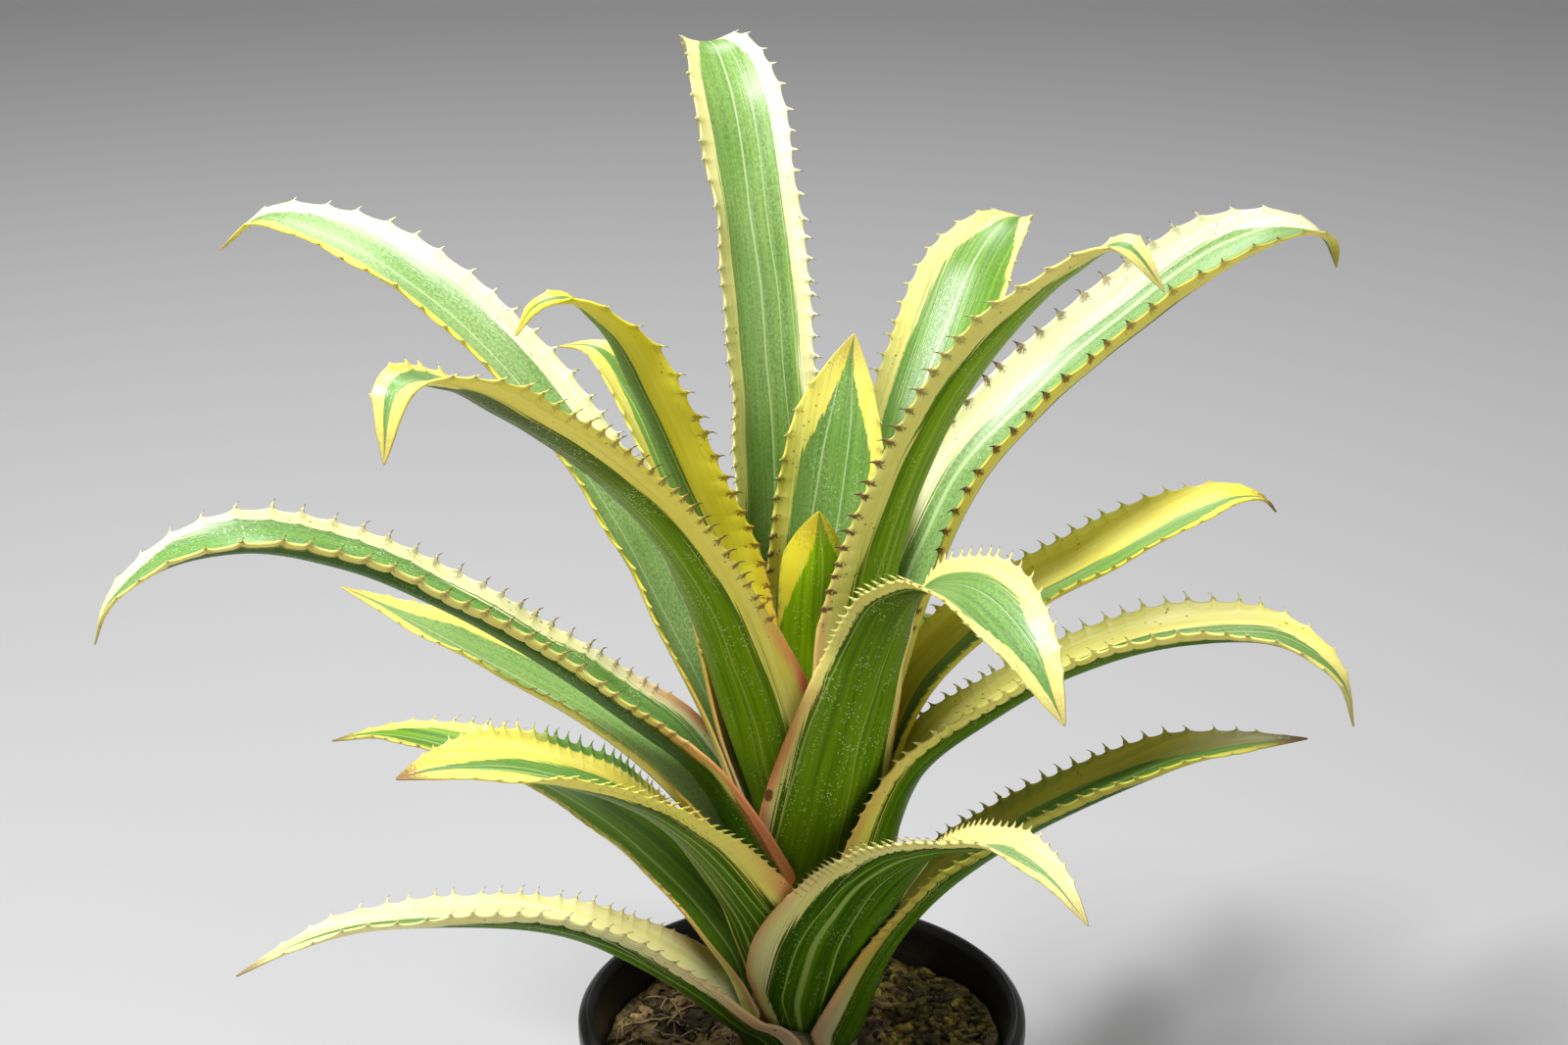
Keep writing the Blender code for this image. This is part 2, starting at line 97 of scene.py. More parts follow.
# noise on a leaf: scales across it, along it and between its faces, then detail and roughness
LEAF_NOISE = {
    "drift": ((0.012, 0.011, 1.0), 2.0, 0.5),
    "streak": ((1.5, 0.012, 1.0), 3.0, 0.6),
    "stray": ((2.1, 0.007, 1.0), 1.0, 0.4),
    "tone": ((0.55, 0.01, 1.0), 3.0, 0.6),
    "mottle": ((1.3, 0.85, 1.0), 4.0, 0.65),
    "broad": ((0.055, 0.03, 1.0), 2.0, 0.5),
    "specked": ((0.16, 0.05, 1.0), 2.0, 0.5),
    "hue": ((0.35, 0.016, 1.0), 3.0, 0.6),
    "stained": ((0.8, 0.01, 1.0), 2.0, 0.5),
    "freckled": ((0.06, 0.05, 1.0), 1.0, 0.5),
    "veins": ((1.7, 0.02, 1.0), 2.0, 0.6),
    "fine": ((1.6, 1.1, 1.0), 3.0, 0.7),
}
SPECK_DOTS, FRECKLE_DOTS = (1.2, 1.0, 1.0), (0.42, 0.34, 1.0)

# potting mix colours: damp patches, and the dark, middle and light of each kind of crumb
DAMP = (0.012, 0.009, 0.005)
CRUMB_COLOURS = {
    "bark_chips": ((0.04, 0.022, 0.01), (0.29, 0.18, 0.07), (0.6, 0.43, 0.19)),
    "peat_crumbs": ((0.009, 0.006, 0.003), (0.11, 0.072, 0.03), (0.26, 0.18, 0.07)),
    "moss_tufts": ((0.075, 0.052, 0.012), (0.42, 0.32, 0.05), (0.7, 0.56, 0.13)),
}
# name, count, cluster's centre and spread, half length, shares for width and height, jag, detail
CRUMBS = (
    ("bark_chips", 230, (), (1.6, 4.6), (0.5, 0.8), (0.2, 0.5), 0.25, 1),
    ("peat_crumbs", 420, (), (0.7, 1.8), (0.7, 1.0), (0.6, 0.9), 0.3, 1),
    ("moss_tufts", 260, ((46, 16), (11, 17)), (0.9, 2.4), (0.7, 1.0), (0.5, 0.8), 0.4, 2),
)
CRUMB_TILT, CRUMB_RISE, FIBRE_STEPS = 0.5, 0.25, 9

# studio: lamps as (name, place, aim, watts, width, height) in metres, and the fitted camera
LAMPS = (
    ("key", (-0.5, -0.42, 1.62), (0.0, 0.0, 0.24), 40.0, 0.36, 0.36),
    ("fill", (1.3, -1.1, 0.7), (0.0, 0.0, 0.2), 3.5, 1.2, 1.2),
    ("back", (-0.1, 1.1, 1.6), (0.0, 0.0, 0.25), 12.0, 0.7, 0.7),
    ("strip", (1.01, -1.48, 0.8), (0.0, 0.05, 0.33), 3.2, 0.22, 0.9),
)
FLOOR_COLOUR, FLOOR_REACH, FLOOR_DROP, WORLD_LIGHT = (0.46, 0.46, 0.465), 9.0, 0.0004, 0.17
CAMERA_PLACE, CAMERA_TILT, CAMERA_LENS, CAMERA_SENSOR = (-0.0056, -0.829, 0.608), radians(68), 70.0, 36.0

# name, azimuth, blade half, sheath half, sheath length, taper, swing, roll, fold, midrib points
LEAVES = (
    ("leaf_01_left_low", 198, 13, 26, 6, 70, 0, 12, 60,
     (27, 111), (39, 123), (55, 136), (74, 148), (109, 158), (141, 161), (158, 158), (174, 152)),
    ("leaf_02_right_low", 348, 16, 25, 14, 62, 0, 0, 56,
     (31, 138), (43, 155), (57, 169), (90, 193), (123, 211), (150, 218)),
    ("leaf_03_left_back_low", 154, 13, 25, 12, 62, 0, 0, 50,
     (32, 134), (46, 146), (64, 157), (80, 164), (96, 169), (114, 172), (134, 173), (154, 171), (172, 165)),
    ("leaf_04_front_low", 294, 16, 29, 24, 84, 20, 0, 50,
     (44, 168), (64, 190), (88, 206), (110, 215), (127, 214), (140, 206)),
    ("leaf_05_back_low", 70, 15, 25, 20, 62, 0, 0, 50,
     (42, 154), (62, 176), (90, 190), (122, 192), (148, 180)),
    ("leaf_06_front_left_low", 224, 19, 28, 28, 56, 0, -8, 50,
     (35, 165), (51, 187), (70, 205), (92, 220), (118, 233), (136, 239), (151, 242)),
    ("leaf_07_back_left_low", 107, 15, 25, 28, 62, 0, 0, 50,
     (42, 178), (56, 200), (84, 220), (114, 224), (142, 212)),
    ("leaf_08_right", 345, 15, 28, 34, 62, 0, 0, 62,
     (39, 199), (58, 217), (84, 236), (116, 249), (143, 251), (158, 241), (163, 227)),
    ("leaf_09_left_hidden", 171, 16, 25, 32, 62, 0, 0, 50,
     (38, 182), (58, 200), (80, 213), (103, 225), (126, 236), (142, 243)),
    ("leaf_10_right_back", 19, 15, 16, 40, 56, 0, 4, 50,
     (32, 202), (41, 217), (52, 227), (62, 234), (76, 239), (92, 245), (110, 253), (128, 260), (142, 263),
     (151, 261), (156, 256)),
    ("leaf_11_left", 192, 15, 26, 40, 62, 0, 0, 68,
     (36, 198), (52, 213), (80, 237), (108, 257), (136, 272), (164, 279), (188, 274), (201, 263), (205, 253)),
    ("leaf_12_back_right", 60, 18, 17, 34, 56, 0, 0, 50,
     (26, 196), (34, 217), (46, 240), (62, 264), (80, 288), (98, 309), (112, 323), (134, 331), (150, 327)),
    ("leaf_13_front", 291, 14, 23, 46, 50, 22, 10, 50,
     (39, 230), (47, 252), (57, 269), (74, 280), (96, 285), (117, 278), (131, 262)),
    ("leaf_14_left_top", 154, 14, 21, 46, 76, 0, -14, 62,
     (45, 234), (59, 259), (82, 289), (105, 311), (132, 328), (160, 339), (187, 341), (203, 329)),
    ("leaf_15_back_left", 148, 15, 20, 46, 50, 0, 0, 50,
     (33, 230), (39, 256), (49, 281), (61, 301), (74, 313), (87, 312)),
    ("leaf_16_right_top", 25, 18, 25, 50, 56, 0, 4, 76,
     (44, 257), (58, 280), (80, 300), (112, 320), (146, 337), (166, 341), (178, 337), (183, 327)),
    ("leaf_17_front_left", 236, 14, 23, 56, 56, 12, 2, 50,
     (39, 244), (57, 274), (82, 303), (110, 327), (142, 350), (168, 366), (186, 371), (194, 355)),
    ("leaf_18_top", 107, 15, 22, 50, 56, 4, 0, 50,
     (26, 262), (30, 300), (38, 335), (50, 366), (65, 388), (80, 397), (94, 394), (104, 384)),
    ("leaf_19_front_right", 326, 17, 25, 54, 62, 0, 0, 50,
     (27, 250), (35, 284), (48, 314), (66, 342), (86, 364), (101, 374), (114, 364)),
    ("leaf_20_upper_left", 212, 15, 23, 52, 56, -2, 6, 50,
     (32, 274), (42, 298), (52, 321), (64, 344), (74, 353), (84, 353), (91, 346)),
    ("leaf_21_heart_back", 78, 16, 20, 40, 36, -9, 0, 50,
     (20, 262), (24, 292), (31, 322)),
    ("leaf_22_heart", 275, 18, 19, 26, 30, 4, 0, 50,
     (9, 238), (9, 262), (6, 279)),
)

# Looks by leaf number. green, under: edges of the green band on the upper and the lower face (-1 is the
# right margin, 1 the left). fade: how far from the tip it narrows. lemon: how yellow the margins are, or the
# right and the left one. olive: painted shade on the margins. frost, scurf, warm: bloom, pale
# dots and yellower green above; frost is kept low on leaves that lie in shade, as painted shade. flecks,
# deep, dusk: pale dots, darker green (on leaves that lie in shade partly painted
# shade) and painted shade on the far end below. rim: a green right edge. blush: pink by the sheath. tip:
# brown tip. first, pitch, dark: the spines' start, spacing and brownness. lines: pale lines as (place, half
# width). spots: brown spots as (place, distance from the sheath, half sizes).
USUAL = dict(green=(-0.62, 0.62), under=None, fade=40.0, lemon=0.5, olive=0.0, frost=0.7, scurf=0.25,
             warm=0.0, flecks=0.5, deep=0.4, dusk=0.0, rim=False, blush=0.4, tip=0.4, first=26.0, pitch=6.0,
             dark=0.35, lines=((0.12, 0.022),), spots=())
LOOKS = {
    1: dict(green=(-0.3, 0.12), under=(-0.6, 0.78), fade=90.0, lemon=0.35, frost=0.2, deep=0.95, tip=0.8,
        pitch=7.0, lines=((0.3, 0.02), (0.56, 0.02))),
    2: dict(green=(-0.8, 0.45), fade=60.0, lemon=0.85, olive=0.6, frost=0.05, warm=0.7, deep=0.9, tip=0.9,
        dark=0.5),
    3: dict(lemon=0.7, olive=0.4, frost=0.0, warm=0.8, deep=0.9, tip=0.8),
    4: dict(green=(-0.72, 0.12), under=(-0.76, 0.66), lemon=0.55, deep=0.95, blush=0.6, tip=0.5, first=34.0,
        pitch=4.4, dark=0.6, lines=((-0.42, 0.036), (-0.58, 0.01), (-0.14, 0.012))),
    5: dict(frost=0.2, warm=0.5, deep=0.8),
    6: dict(green=(-0.52, 0.34), under=(-0.26, 0.74), fade=90.0, lemon=0.8, frost=0.25, flecks=0.3,
        deep=0.95, rim=True, blush=0.7, tip=0.9, first=30.0, pitch=5.2,
        lines=((0.52, 0.014), (0.36, 0.02), (0.2, 0.012), (0.06, 0.03), (-0.1, 0.014))),
    7: dict(frost=0.2, warm=0.5, deep=0.8),
    8: dict(green=(-0.64, 0.4), under=(-0.8, 0.5), lemon=0.65, frost=0.4, deep=0.8, blush=0.5, first=20.0),
    9: dict(green=(-0.6, 0.66), lemon=0.8, frost=0.6, warm=0.4, deep=0.8),
    10: dict(green=(-0.66, 0.06), lemon=0.95, frost=0.3, warm=0.4, tip=0.9, dark=0.4),
    11: dict(green=(-0.76, 0.86), lemon=(0.2, 0.6), frost=0.35, scurf=1.0, deep=1.0, blush=0.8, first=34.0,
        pitch=8.2, dark=0.7),
    12: dict(green=(-0.8, 0.64), lemon=0.6, frost=0.15, warm=0.6),
    13: dict(green=(-0.8, 0.56), under=(-0.82, 0.74), lemon=0.6, frost=0.45, flecks=1.0, deep=0.5,
        dusk=0.85, blush=0.8, first=52.0, pitch=4.6, lines=((-0.72, 0.018), (0.12, 0.01)),
        spots=((-0.95, 0, 0.06, 2.6),)),
    14: dict(green=(-0.56, 0.58), lemon=(0.1, 0.9), frost=0.85, pitch=9.0),
    15: dict(green=(-0.72, 0.34), lemon=0.8, frost=0.3, warm=0.7),
    16: dict(green=(-1.4, 0.47), under=(-0.62, 0.7), lemon=(0.8, 0.1), frost=0.6, scurf=0.6, pitch=8.4,
        dark=1.0, lines=((0.27, 0.04),)),
    17: dict(green=(-0.78, 0.52), lemon=0.8, frost=0.5, flecks=1.0, deep=0.25, dusk=0.85, blush=0.9,
        first=40.0, pitch=7.6, dark=0.9, lines=((0.06, 0.016), (-0.05, 0.01)),
        spots=((-0.72, 30, 0.05, 1.6), (-0.8, 40, 0.03, 1.2), (-0.6, 46, 0.03, 1.0))),
    18: dict(green=(-0.64, 0.68), lemon=(0.1, 0.45), frost=0.5, warm=0.5, pitch=6.2, dark=0.5,
        lines=((0.05, 0.022), (-0.3, 0.012))),
    19: dict(green=(-0.62, 0.76), lemon=0.6, frost=0.5, flecks=0.7, deep=0.05, pitch=7.4, dark=1.0,
        lines=((-0.28, 0.018), (-0.1, 0.014))),
    20: dict(green=(-0.74, 0.22), lemon=1.0, frost=0.4, deep=0.3, pitch=7.8, dark=0.9),
    21: dict(green=(-0.74, 0.66), lemon=0.8, frost=0.4, scurf=0.9, warm=0.3, pitch=7.0, dark=1.0,
        lines=((0.25, 0.02), (-0.2, 0.015))),
    22: dict(green=(-0.86, 1.2), lemon=1.0, olive=0.25, frost=0.1, deep=0.0, first=0.0, dark=1.0),
}


def unit(rows):
    """The directions of rows of vectors."""
    return rows / np.linalg.norm(rows, axis=1)[:, None]


def distances(points):
    """How far along a line each of its points is."""
    return np.concatenate([[0.0], np.cumsum(np.linalg.norm(np.diff(points, axis=0), axis=1))])


def smooth_path(points):
    """Points at even steps along a smooth curve through the given ones, and their distances along it."""
    given = np.array(points, float)
    knots = distances(given)
    slopes = np.gradient(given, knots, axis=0)
    dense = np.linspace(0.0, knots[-1], PATH_SAMPLES)
    left = np.clip(np.searchsorted(knots, dense, side="right") - 1, 0, len(knots) - 2)
    span = (knots[left + 1] - knots[left])[:, None]
    t = (dense - knots[left])[:, None] / span
    curve = ((2 * t**3 - 3 * t**2 + 1) * given[left] + (t**3 - 2 * t**2 + t) * span * slopes[left]
             + (3 * t**2 - 2 * t**3) * given[left + 1] + (t**3 - t**2) * span * slopes[left + 1])
    run = distances(curve)
    even = np.linspace(0.0, run[-1], PATH_SAMPLES)
    return np.stack([np.interp(even, run, curve[:, axis]) for axis in range(2)], 1), even


def ease(value, start, end):
    """0 before start and 1 after end, with a smooth change between them."""
    t = np.clip((value - start) / (end - start), 0.0, 1.0)
    return t * t * (3 - 2 * t)


class Leaf:
    """The shape of one leaf, as in the CAD source: midrib, frame along it, half width and fold."""

    def __init__(self, index, azimuth, blade, sheath, mouth, taper, swing, roll, fold, points):
        root = ROOT_FIRST + ROOT_STEP * index
        foot = STEM_FOOT - STEM_TAPER * (root - ROOT_FIRST) + ROOT_GAP + THICK_RIB / 2
        nested = [(foot + SHEATH_FLARE * rise + SHEATH_CURVE * rise**2, root + rise)
                  for rise in mouth * np.array(SHEATH_RISES)]
        plane, self.run = smooth_path(nested + list(points))
        self.length = self.run[-1]
        self.mouth = mouth
        out = plane[:, 0]
        sway = swing * (self.run / self.length)**2
        outward = np.array([cos(radians(azimuth)), sin(radians(azimuth)), 0.0])
        leftward = np.array([-outward[1], outward[0], 0.0])
        upward = np.array([0.0, 0.0, 1.0])
        self.rib = out[:, None] * outward + sway[:, None] * leftward + plane[:, 1:] * upward
        self.along = unit(np.gradient(self.rib, self.run, axis=0))
        side = unit(leftward - (self.along @ leftward)[:, None] * self.along)
        inner = np.cross(self.along, side)
        freed = ease(self.run, mouth, mouth + FREE_LENGTH)
        turn = radians(roll) * freed[:, None]
        self.side = side * np.cos(turn) + inner * np.sin(turn)
        self.inner = inner * np.cos(turn) - side * np.sin(turn)
        lead = max(0.0, OUTER_WRAP_LEAD - WRAP_LEAD_STEP * index)
        widest = ROOT_WRAP + (SHEATH_WRAP - ROOT_WRAP) * ease(self.run + lead, WRAP_START, WRAP_END)
        swelling = ease(self.run, 0.0, mouth / 2)
        start = mouth * NARROWING_START
        narrowing = ease(self.run, start, start + NARROWING_LENGTH)
        body = (FOOT_SHARE + (1 - FOOT_SHARE) * swelling) * sheath + narrowing * (blade - sheath)
        left = np.clip((self.length - self.run) / taper, 0.0, 1.0)
        self.half = np.minimum(body * np.maximum(1 - (1 - left)**TIP_BLUNTNESS, 0.0), widest * out)
        wrap = self.half / (out * SHEATH_EASE)
        open_tip = ease(self.run, self.length - taper * TIP_OPENING, self.length)
        folded = BLADE_FOLD + (radians(fold) - BLADE_FOLD) * freed
        opened = folded + (TIP_FOLD - folded) * open_tip
        self.fold = (opened**FOLD_SHARPNESS + wrap**FOLD_SHARPNESS)**(1 / FOLD_SHARPNESS)

    def at(self, distance, field):
        values = getattr(self, field)
        if values.ndim == 1:
            return np.interp(distance, self.run, values)
        return np.stack([np.interp(distance, self.run, values[:, axis]) for axis in range(3)], -1)

    def surface(self, distance, u, lift):
        """Points of the blade at distances along it and places across it, lifted off its middle surface."""
        fold, half = self.at(distance, "fold"), self.at(distance, "half")
        turn = fold * u
        side, inner = self.at(distance, "side"), self.at(distance, "inner")
        across = (half / fold * np.sin(turn))[..., None]
        depth = (half / fold * (1 - np.cos(turn)))[..., None]
        normal = inner * np.cos(turn)[..., None] - side * np.sin(turn)[..., None]
        return self.at(distance, "rib") + side * across + inner * depth + normal * lift[..., None]

    def outward(self, distance, u):
        """The direction in the blade's surface that leaves its right (-1) or left (1) margin."""
        fold = self.at(distance, "fold")[..., None]
        side, inner = self.at(distance, "side"), self.at(distance, "inner")
        return side * (np.cos(fold) * u) + inner * np.sin(fold)


def tooth_places(leaf, first, pitch, chance):
    """Distances of the spines along one margin: close on the sheath, wider apart towards the tip."""
    first, last = leaf.mouth + first, leaf.length - LAST_SPINE
    dense = np.linspace(first, last, 400)
    local = pitch * (0.62 + 0.62 * (dense - first) / (last - first))
    count = np.concatenate([[0.0], np.cumsum(np.diff(dense) / local[:-1])])
    total = int(round(count[-1]))
    places = np.interp(np.arange(total + 1) * count[-1] / total, count, dense)
    return places + chance.uniform(-0.15, 0.15, total + 1) * pitch


def margin_lines(places, leaf):
    """Distances of the cross-lines at one margin, and their phase from one spine to the next."""
    first = np.linspace(0.0, places[0], FOOT_LINES + 1)[:-1]
    gaps = np.diff(places)
    between = (places[:-1, None] + gaps[:, None] * np.array(TOOTH_STEPS)).ravel()
    last = places[-1] + (leaf.length - places[-1]) * np.array(TIP_STEPS)
    phase = [np.full(FOOT_LINES, 0.5), np.tile(TOOTH_STEPS, len(gaps)), [0.0], np.full(len(last) - 1, 0.5)]
    return np.concatenate([first, between, last]), np.concatenate(phase)


def tooth_size(leaf, distance, start):
    """The share of its full size that a spine has at a distance: small by the sheath and at the tip."""
    by_sheath = 0.5 + 0.5 * ease(distance, start, start + 45)
    return by_sheath * (0.45 + 0.55 * ease(leaf.length - distance, 0, 60))


def tube(base, rings, sides=TUBE_SIDES):
    """Faces round rows of points, of which the first has the number base."""
    faces = []
    for low in range(base, base + sides * (rings - 1), sides):
        high = low + sides
        for k in range(sides):
            n = (k + 1) % sides
            faces.append((low + k, low + n, high + n, high + k))
    return faces


def show(name, data):
    """A new object in the scene with the given mesh, light or camera."""
    made = bpy.data.objects.new(name, data)
    bpy.context.scene.collection.objects.link(made)
    return made


def new_mesh(name, points, faces):
    """A mesh from points in millimetres, with its faces turned outwards."""
    mesh = bpy.data.meshes.new(name)
    mesh.from_pydata((np.asarray(points) * MM).tolist(), [], faces)
    shape = bmesh.new()
    shape.from_mesh(mesh)
    bmesh.ops.recalc_face_normals(shape, faces=shape.faces)
    shape.to_mesh(mesh)
    shape.free()
    return mesh


def add_piece(name, points, faces, material, values, smooth=True):
    """A piece of the object from points in millimetres, with values given for its points."""
    mesh = new_mesh(name, points, faces)
    for key, data in values.items():
        data = np.asarray(data, np.float32)
        flat = data.ndim == 1
        layer = mesh.attributes.new(key, "FLOAT" if flat else "FLOAT_VECTOR", "POINT")
        layer.data.foreach_set("value" if flat else "vector", data.ravel())
    if smooth:
        mesh.shade_smooth()
    mesh.materials.append(material)
    piece = show(name, mesh)
    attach(piece, "root")
    return piece


def ripples(leaf, run, u, chance):
    """Lift of the blade in slow waves of its own along each margin."""
    waves = np.zeros_like(run)
    for side in (-1, 1):
        one = np.zeros_like(run)
        for length in WAVE_LENGTHS:
            one += np.sin(2 * pi * (run / (length * chance.uniform(0.85, 1.15)) + chance.uniform()))
        waves += one * np.clip(side * u, 0, 1)[None, :]**2.2
    free = ease(run, leaf.mouth + 12, leaf.mouth + 60) * ease(leaf.length - run, 2, 30)
    return waves * WAVE_HEIGHT * free


def add_spine(parts, faces, leaf, here, side, foot, grown, hook):
    """A hooked spine on the right (-1) or left (1) margin: rings round a bent line, and a point."""
    out, back = leaf.outward(here, side), -leaf.at(here, "along")
    rise = np.cross(out, back)
    length = SPINE_LENGTH * grown + SPINE_SPARE

    def middle(step):
        reach = length * step
        return foot + out * reach * cos(hook * step) + back * (reach * sin(hook * step) * SPINE_SWEEP)

    points = []
    for step, wide, thick in SPINE_RINGS:
        for turn in TUBE_TURNS:
            points.append(middle(step) + back * (wide * grown * cos(turn))
                          + rise * (thick * grown**0.5 * sin(turn)))
    points.append(middle(1.0))
    base, count = sum(map(len, parts["along"])), len(points)
    steps = np.array([step for step, _, _ in SPINE_RINGS for _ in range(TUBE_SIDES)] + [1.0])
    parts["points"].append(points)
    parts["spine"].append(0.02 + 0.98 * steps)
    for key, value in dict(across=float(side), along=here, face=0.5, patch=1.0).items():
        parts[key].append(np.full(count, value))
    faces += tube(base, len(SPINE_RINGS))
    apex = base + count - 1
    end = apex - TUBE_SIDES
    faces += [(end + k, end + (k + 1) % TUBE_SIDES, apex) for k in range(TUBE_SIDES)]
    faces.append(tuple(range(base, base + TUBE_SIDES))[::-1])


def fine_leaf(index, name, leaf, look):
    """One leaf with sinuate margins and hooked spines, in place of its plain node."""
    chance = np.random.default_rng(LEAF_SEED + index)
    right = tooth_places(leaf, look.first, look.pitch, chance)
    other = tooth_places(leaf, look.first, look.pitch, chance)
    left = np.interp(np.linspace(0, 1, len(right)), np.linspace(0, 1, len(other)), other)
    (right_run, phase), (left_run, _) = margin_lines(right, leaf), margin_lines(left, leaf)
    u = np.concatenate([-np.array(ACROSS)[:0:-1], ACROSS])
    share = (u + 1) / 2
    run = right_run[:, None] * (1 - share) + left_run[:, None] * share
    start = leaf.mouth + look.first
    size = tooth_size(leaf, run, start)
    close = ease(np.abs(u), 0.62, 1.0)[None, :]
    flare = np.abs(2 * phase - 1)[:, None]**FLARE_POWER
    half = np.maximum(leaf.at(run, "half"), 0.4)
    toothed = ease(run, start - 6, start + 6) * ease(leaf.length - run, 3, 16)
    offset = (FLARE_HEIGHT * size * flare - FLARE_DIP) * toothed * close
    spread = u[None, :] + np.sign(u)[None, :] * offset / half
    lift = ripples(leaf, run, u, chance) + FLARE_CURL * (flare - 0.25) * close * toothed * size
    thick = THICK_RIB + (THICK_EDGE - THICK_RIB) * np.abs(u)**1.5
    thick = thick * (0.55 + 0.45 * ease(leaf.length - run, 0, 12))
    upper = leaf.surface(run, spread, lift + thick / 2)
    lower = leaf.surface(run, spread, lift - thick / 2)
    bulge = EDGE_BULGE / half
    edge_right = leaf.surface(run[:, :1], (spread - bulge)[:, :1], lift[:, :1])
    edge_left = leaf.surface(run[:, -1:], (spread + bulge)[:, -1:], lift[:, -1:])
    ring = np.concatenate([upper, edge_left, lower[:, ::-1], edge_right], 1)
    rows, columns = ring.shape[:2]

    def round_ring(values):
        return np.concatenate([values, values[:, -1:], values[:, ::-1], values[:, :1]], 1).ravel()

    count, end, apex = len(u), (rows - 1) * columns, rows * columns
    by_spine = np.clip(1 - np.minimum(phase, 1 - phase) * 2.6, 0, 1)[:, None]
    patch = by_spine * ease(np.abs(u), 0.7, 0.98) * toothed
    parts = dict(points=[ring.reshape(-1, 3), leaf.at(leaf.length, "rib")[None]],
                 across=[round_ring(np.broadcast_to(u, run.shape)), [0.0]],
                 along=[round_ring(run), [leaf.length]],
                 face=[([0.0] * count + [0.5] + [1.0] * count + [0.5]) * rows, [0.5]],
                 patch=[round_ring(patch), [0.0]], spine=[np.zeros(apex + 1)])
    faces = tube(0, rows, columns)
    faces += [(end + k, apex, end + (k + 1) % columns) for k in range(columns)]
    faces += [(k, k + 1, 2 * count - k - 1, 2 * count - k) for k in range(count - 1)]
    faces += [(count - 1, count, count + 1), (0, 2 * count, 2 * count + 1)]
    for side, column in ((-1, 0), (1, -1)):
        for number in range(len(right)):
            at = FOOT_LINES + number * len(TOOTH_STEPS), column
            here = run[at]
            grown = float(tooth_size(leaf, here, start)) * chance.uniform(0.85, 1.12)
            if toothed[at] < 0.3:
                continue
            hook = radians(chance.uniform(6, 24))
            foot = leaf.surface(here, spread[at] - side * SPINE_SINK / half[at], lift[at])
            add_spine(parts, faces, leaf, here, side, foot, grown, hook)
    every = {key: np.concatenate(value) for key, value in parts.items()}
    wide = np.maximum(leaf.at(every["along"], "half"), 6.0)
    every["grain"] = np.stack([every["across"] * wide, every["along"], every["face"] * 40 + index * 97.0], 1)
    points = every.pop("points")
    piece = add_piece("fine_" + name, points, faces, leaf_material(name, leaf, look), every)
    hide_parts(name)


class Paint:
    """Builds one node material, with short calls that add a node and give its output."""

    def __init__(self, name):
        self.material = bpy.data.materials.new(name)
        self.material.use_nodes = True
        self.tree = self.material.node_tree
        self.shader = self.tree.nodes["Principled BSDF"]

    def put(self, value, socket):
        if isinstance(value, bpy.types.NodeSocket):
            self.tree.links.new(value, socket)
        else:
            socket.default_value = (*value, 1.0) if socket.type == "RGBA" else value

    def node(self, kind, *inputs, **settings):
        """A new node with its settings made and its first inputs filled in."""
        node = self.tree.nodes.new("ShaderNode" + kind)
        for name, value in settings.items():
            setattr(node, name, value)
        for value, socket in zip(inputs, node.inputs):
            self.put(value, socket)
        return node

    def fill(self, node, **inputs):
        """Fills inputs of a node by name, and gives its outputs."""
        for name, value in inputs.items():
            self.put(value, node.inputs[name.replace("_", " ")])
        return node.outputs

    def set(self, **inputs):
        self.fill(self.shader, **inputs)

    def value(self, name, output="Fac"):
        return self.node("Attribute", attribute_name=name).outputs[output]

    def place(self):
        return self.node("NewGeometry").outputs["Position"]

    def parts(self, vector):
        return self.node("SeparateXYZ", vector).outputs

    def scaled(self, vector, scale):
        """The vector times one number, or times one along each axis."""
        scale = scale if isinstance(scale, tuple) else (scale,) * 3
        return self.node("VectorMath", vector, scale, operation="MULTIPLY").outputs[0]

    def noise(self, vector, scale, detail=2.0, rough=0.5):
        """Noise from 0 to 1."""
        at = self.scaled(vector, scale)
        return self.fill(self.node("TexNoise"), Vector=at, Scale=1.0, Detail=detail, Roughness=rough)["Fac"]

    def dots(self, vector, scale):
        """The distance to the nearest of scattered points."""
        at = self.scaled(vector, scale)
        return self.fill(self.node("TexVoronoi"), Vector=at, Scale=1.0)["Distance"]

    def dry(self, at):
        """1 where the mix is dry and 0.3 where it is damp and dark, in broad patches."""
        return self.ramp(self.noise(at, 46.0, 3.0, 0.6), 0.41, 0.56, 0.3, 1.0)

    def math(self, operation, a, b=0.0):
        return self.node("Math", a, b, operation=operation).outputs[0]

    times = partialmethod(math, "MULTIPLY")
    plus = partialmethod(math, "ADD")
    minus = partialmethod(math, "SUBTRACT")

    def gap(self, a, b):
        """How far apart two values are."""
        return self.math("ABSOLUTE", self.minus(a, b))

    def ramp(self, value, low, high, start=0.0, end=1.0):
        """A smooth change from start to end as value goes from low to high, whichever is larger."""
        plain = not any(isinstance(edge, bpy.types.NodeSocket) for edge in (low, high))
        if plain and low > high:
            low, high, start, end = high, low, end, start
        return self.node("MapRange", value, low, high, start, end, interpolation_type="SMOOTHSTEP").outputs[0]

    def mix(self, share, first, second):
        node = self.node("Mix", share, data_type="RGBA")
        self.put(first, node.inputs[6])
        self.put(second, node.inputs[7])
        return node.outputs[2]

    def bump(self, height, strength, distance):
        made = self.fill(self.node("Bump"), Strength=strength, Distance=distance, Height=height)
        self.set(Normal=made[0])

    def tools(self):
        return self.ramp, self.mix, self.noise, self.times, self.plus


def blend(pair, share):
    """A colour between the two of a pair."""
    return tuple(a + (b - a) * share for a, b in zip(*pair))


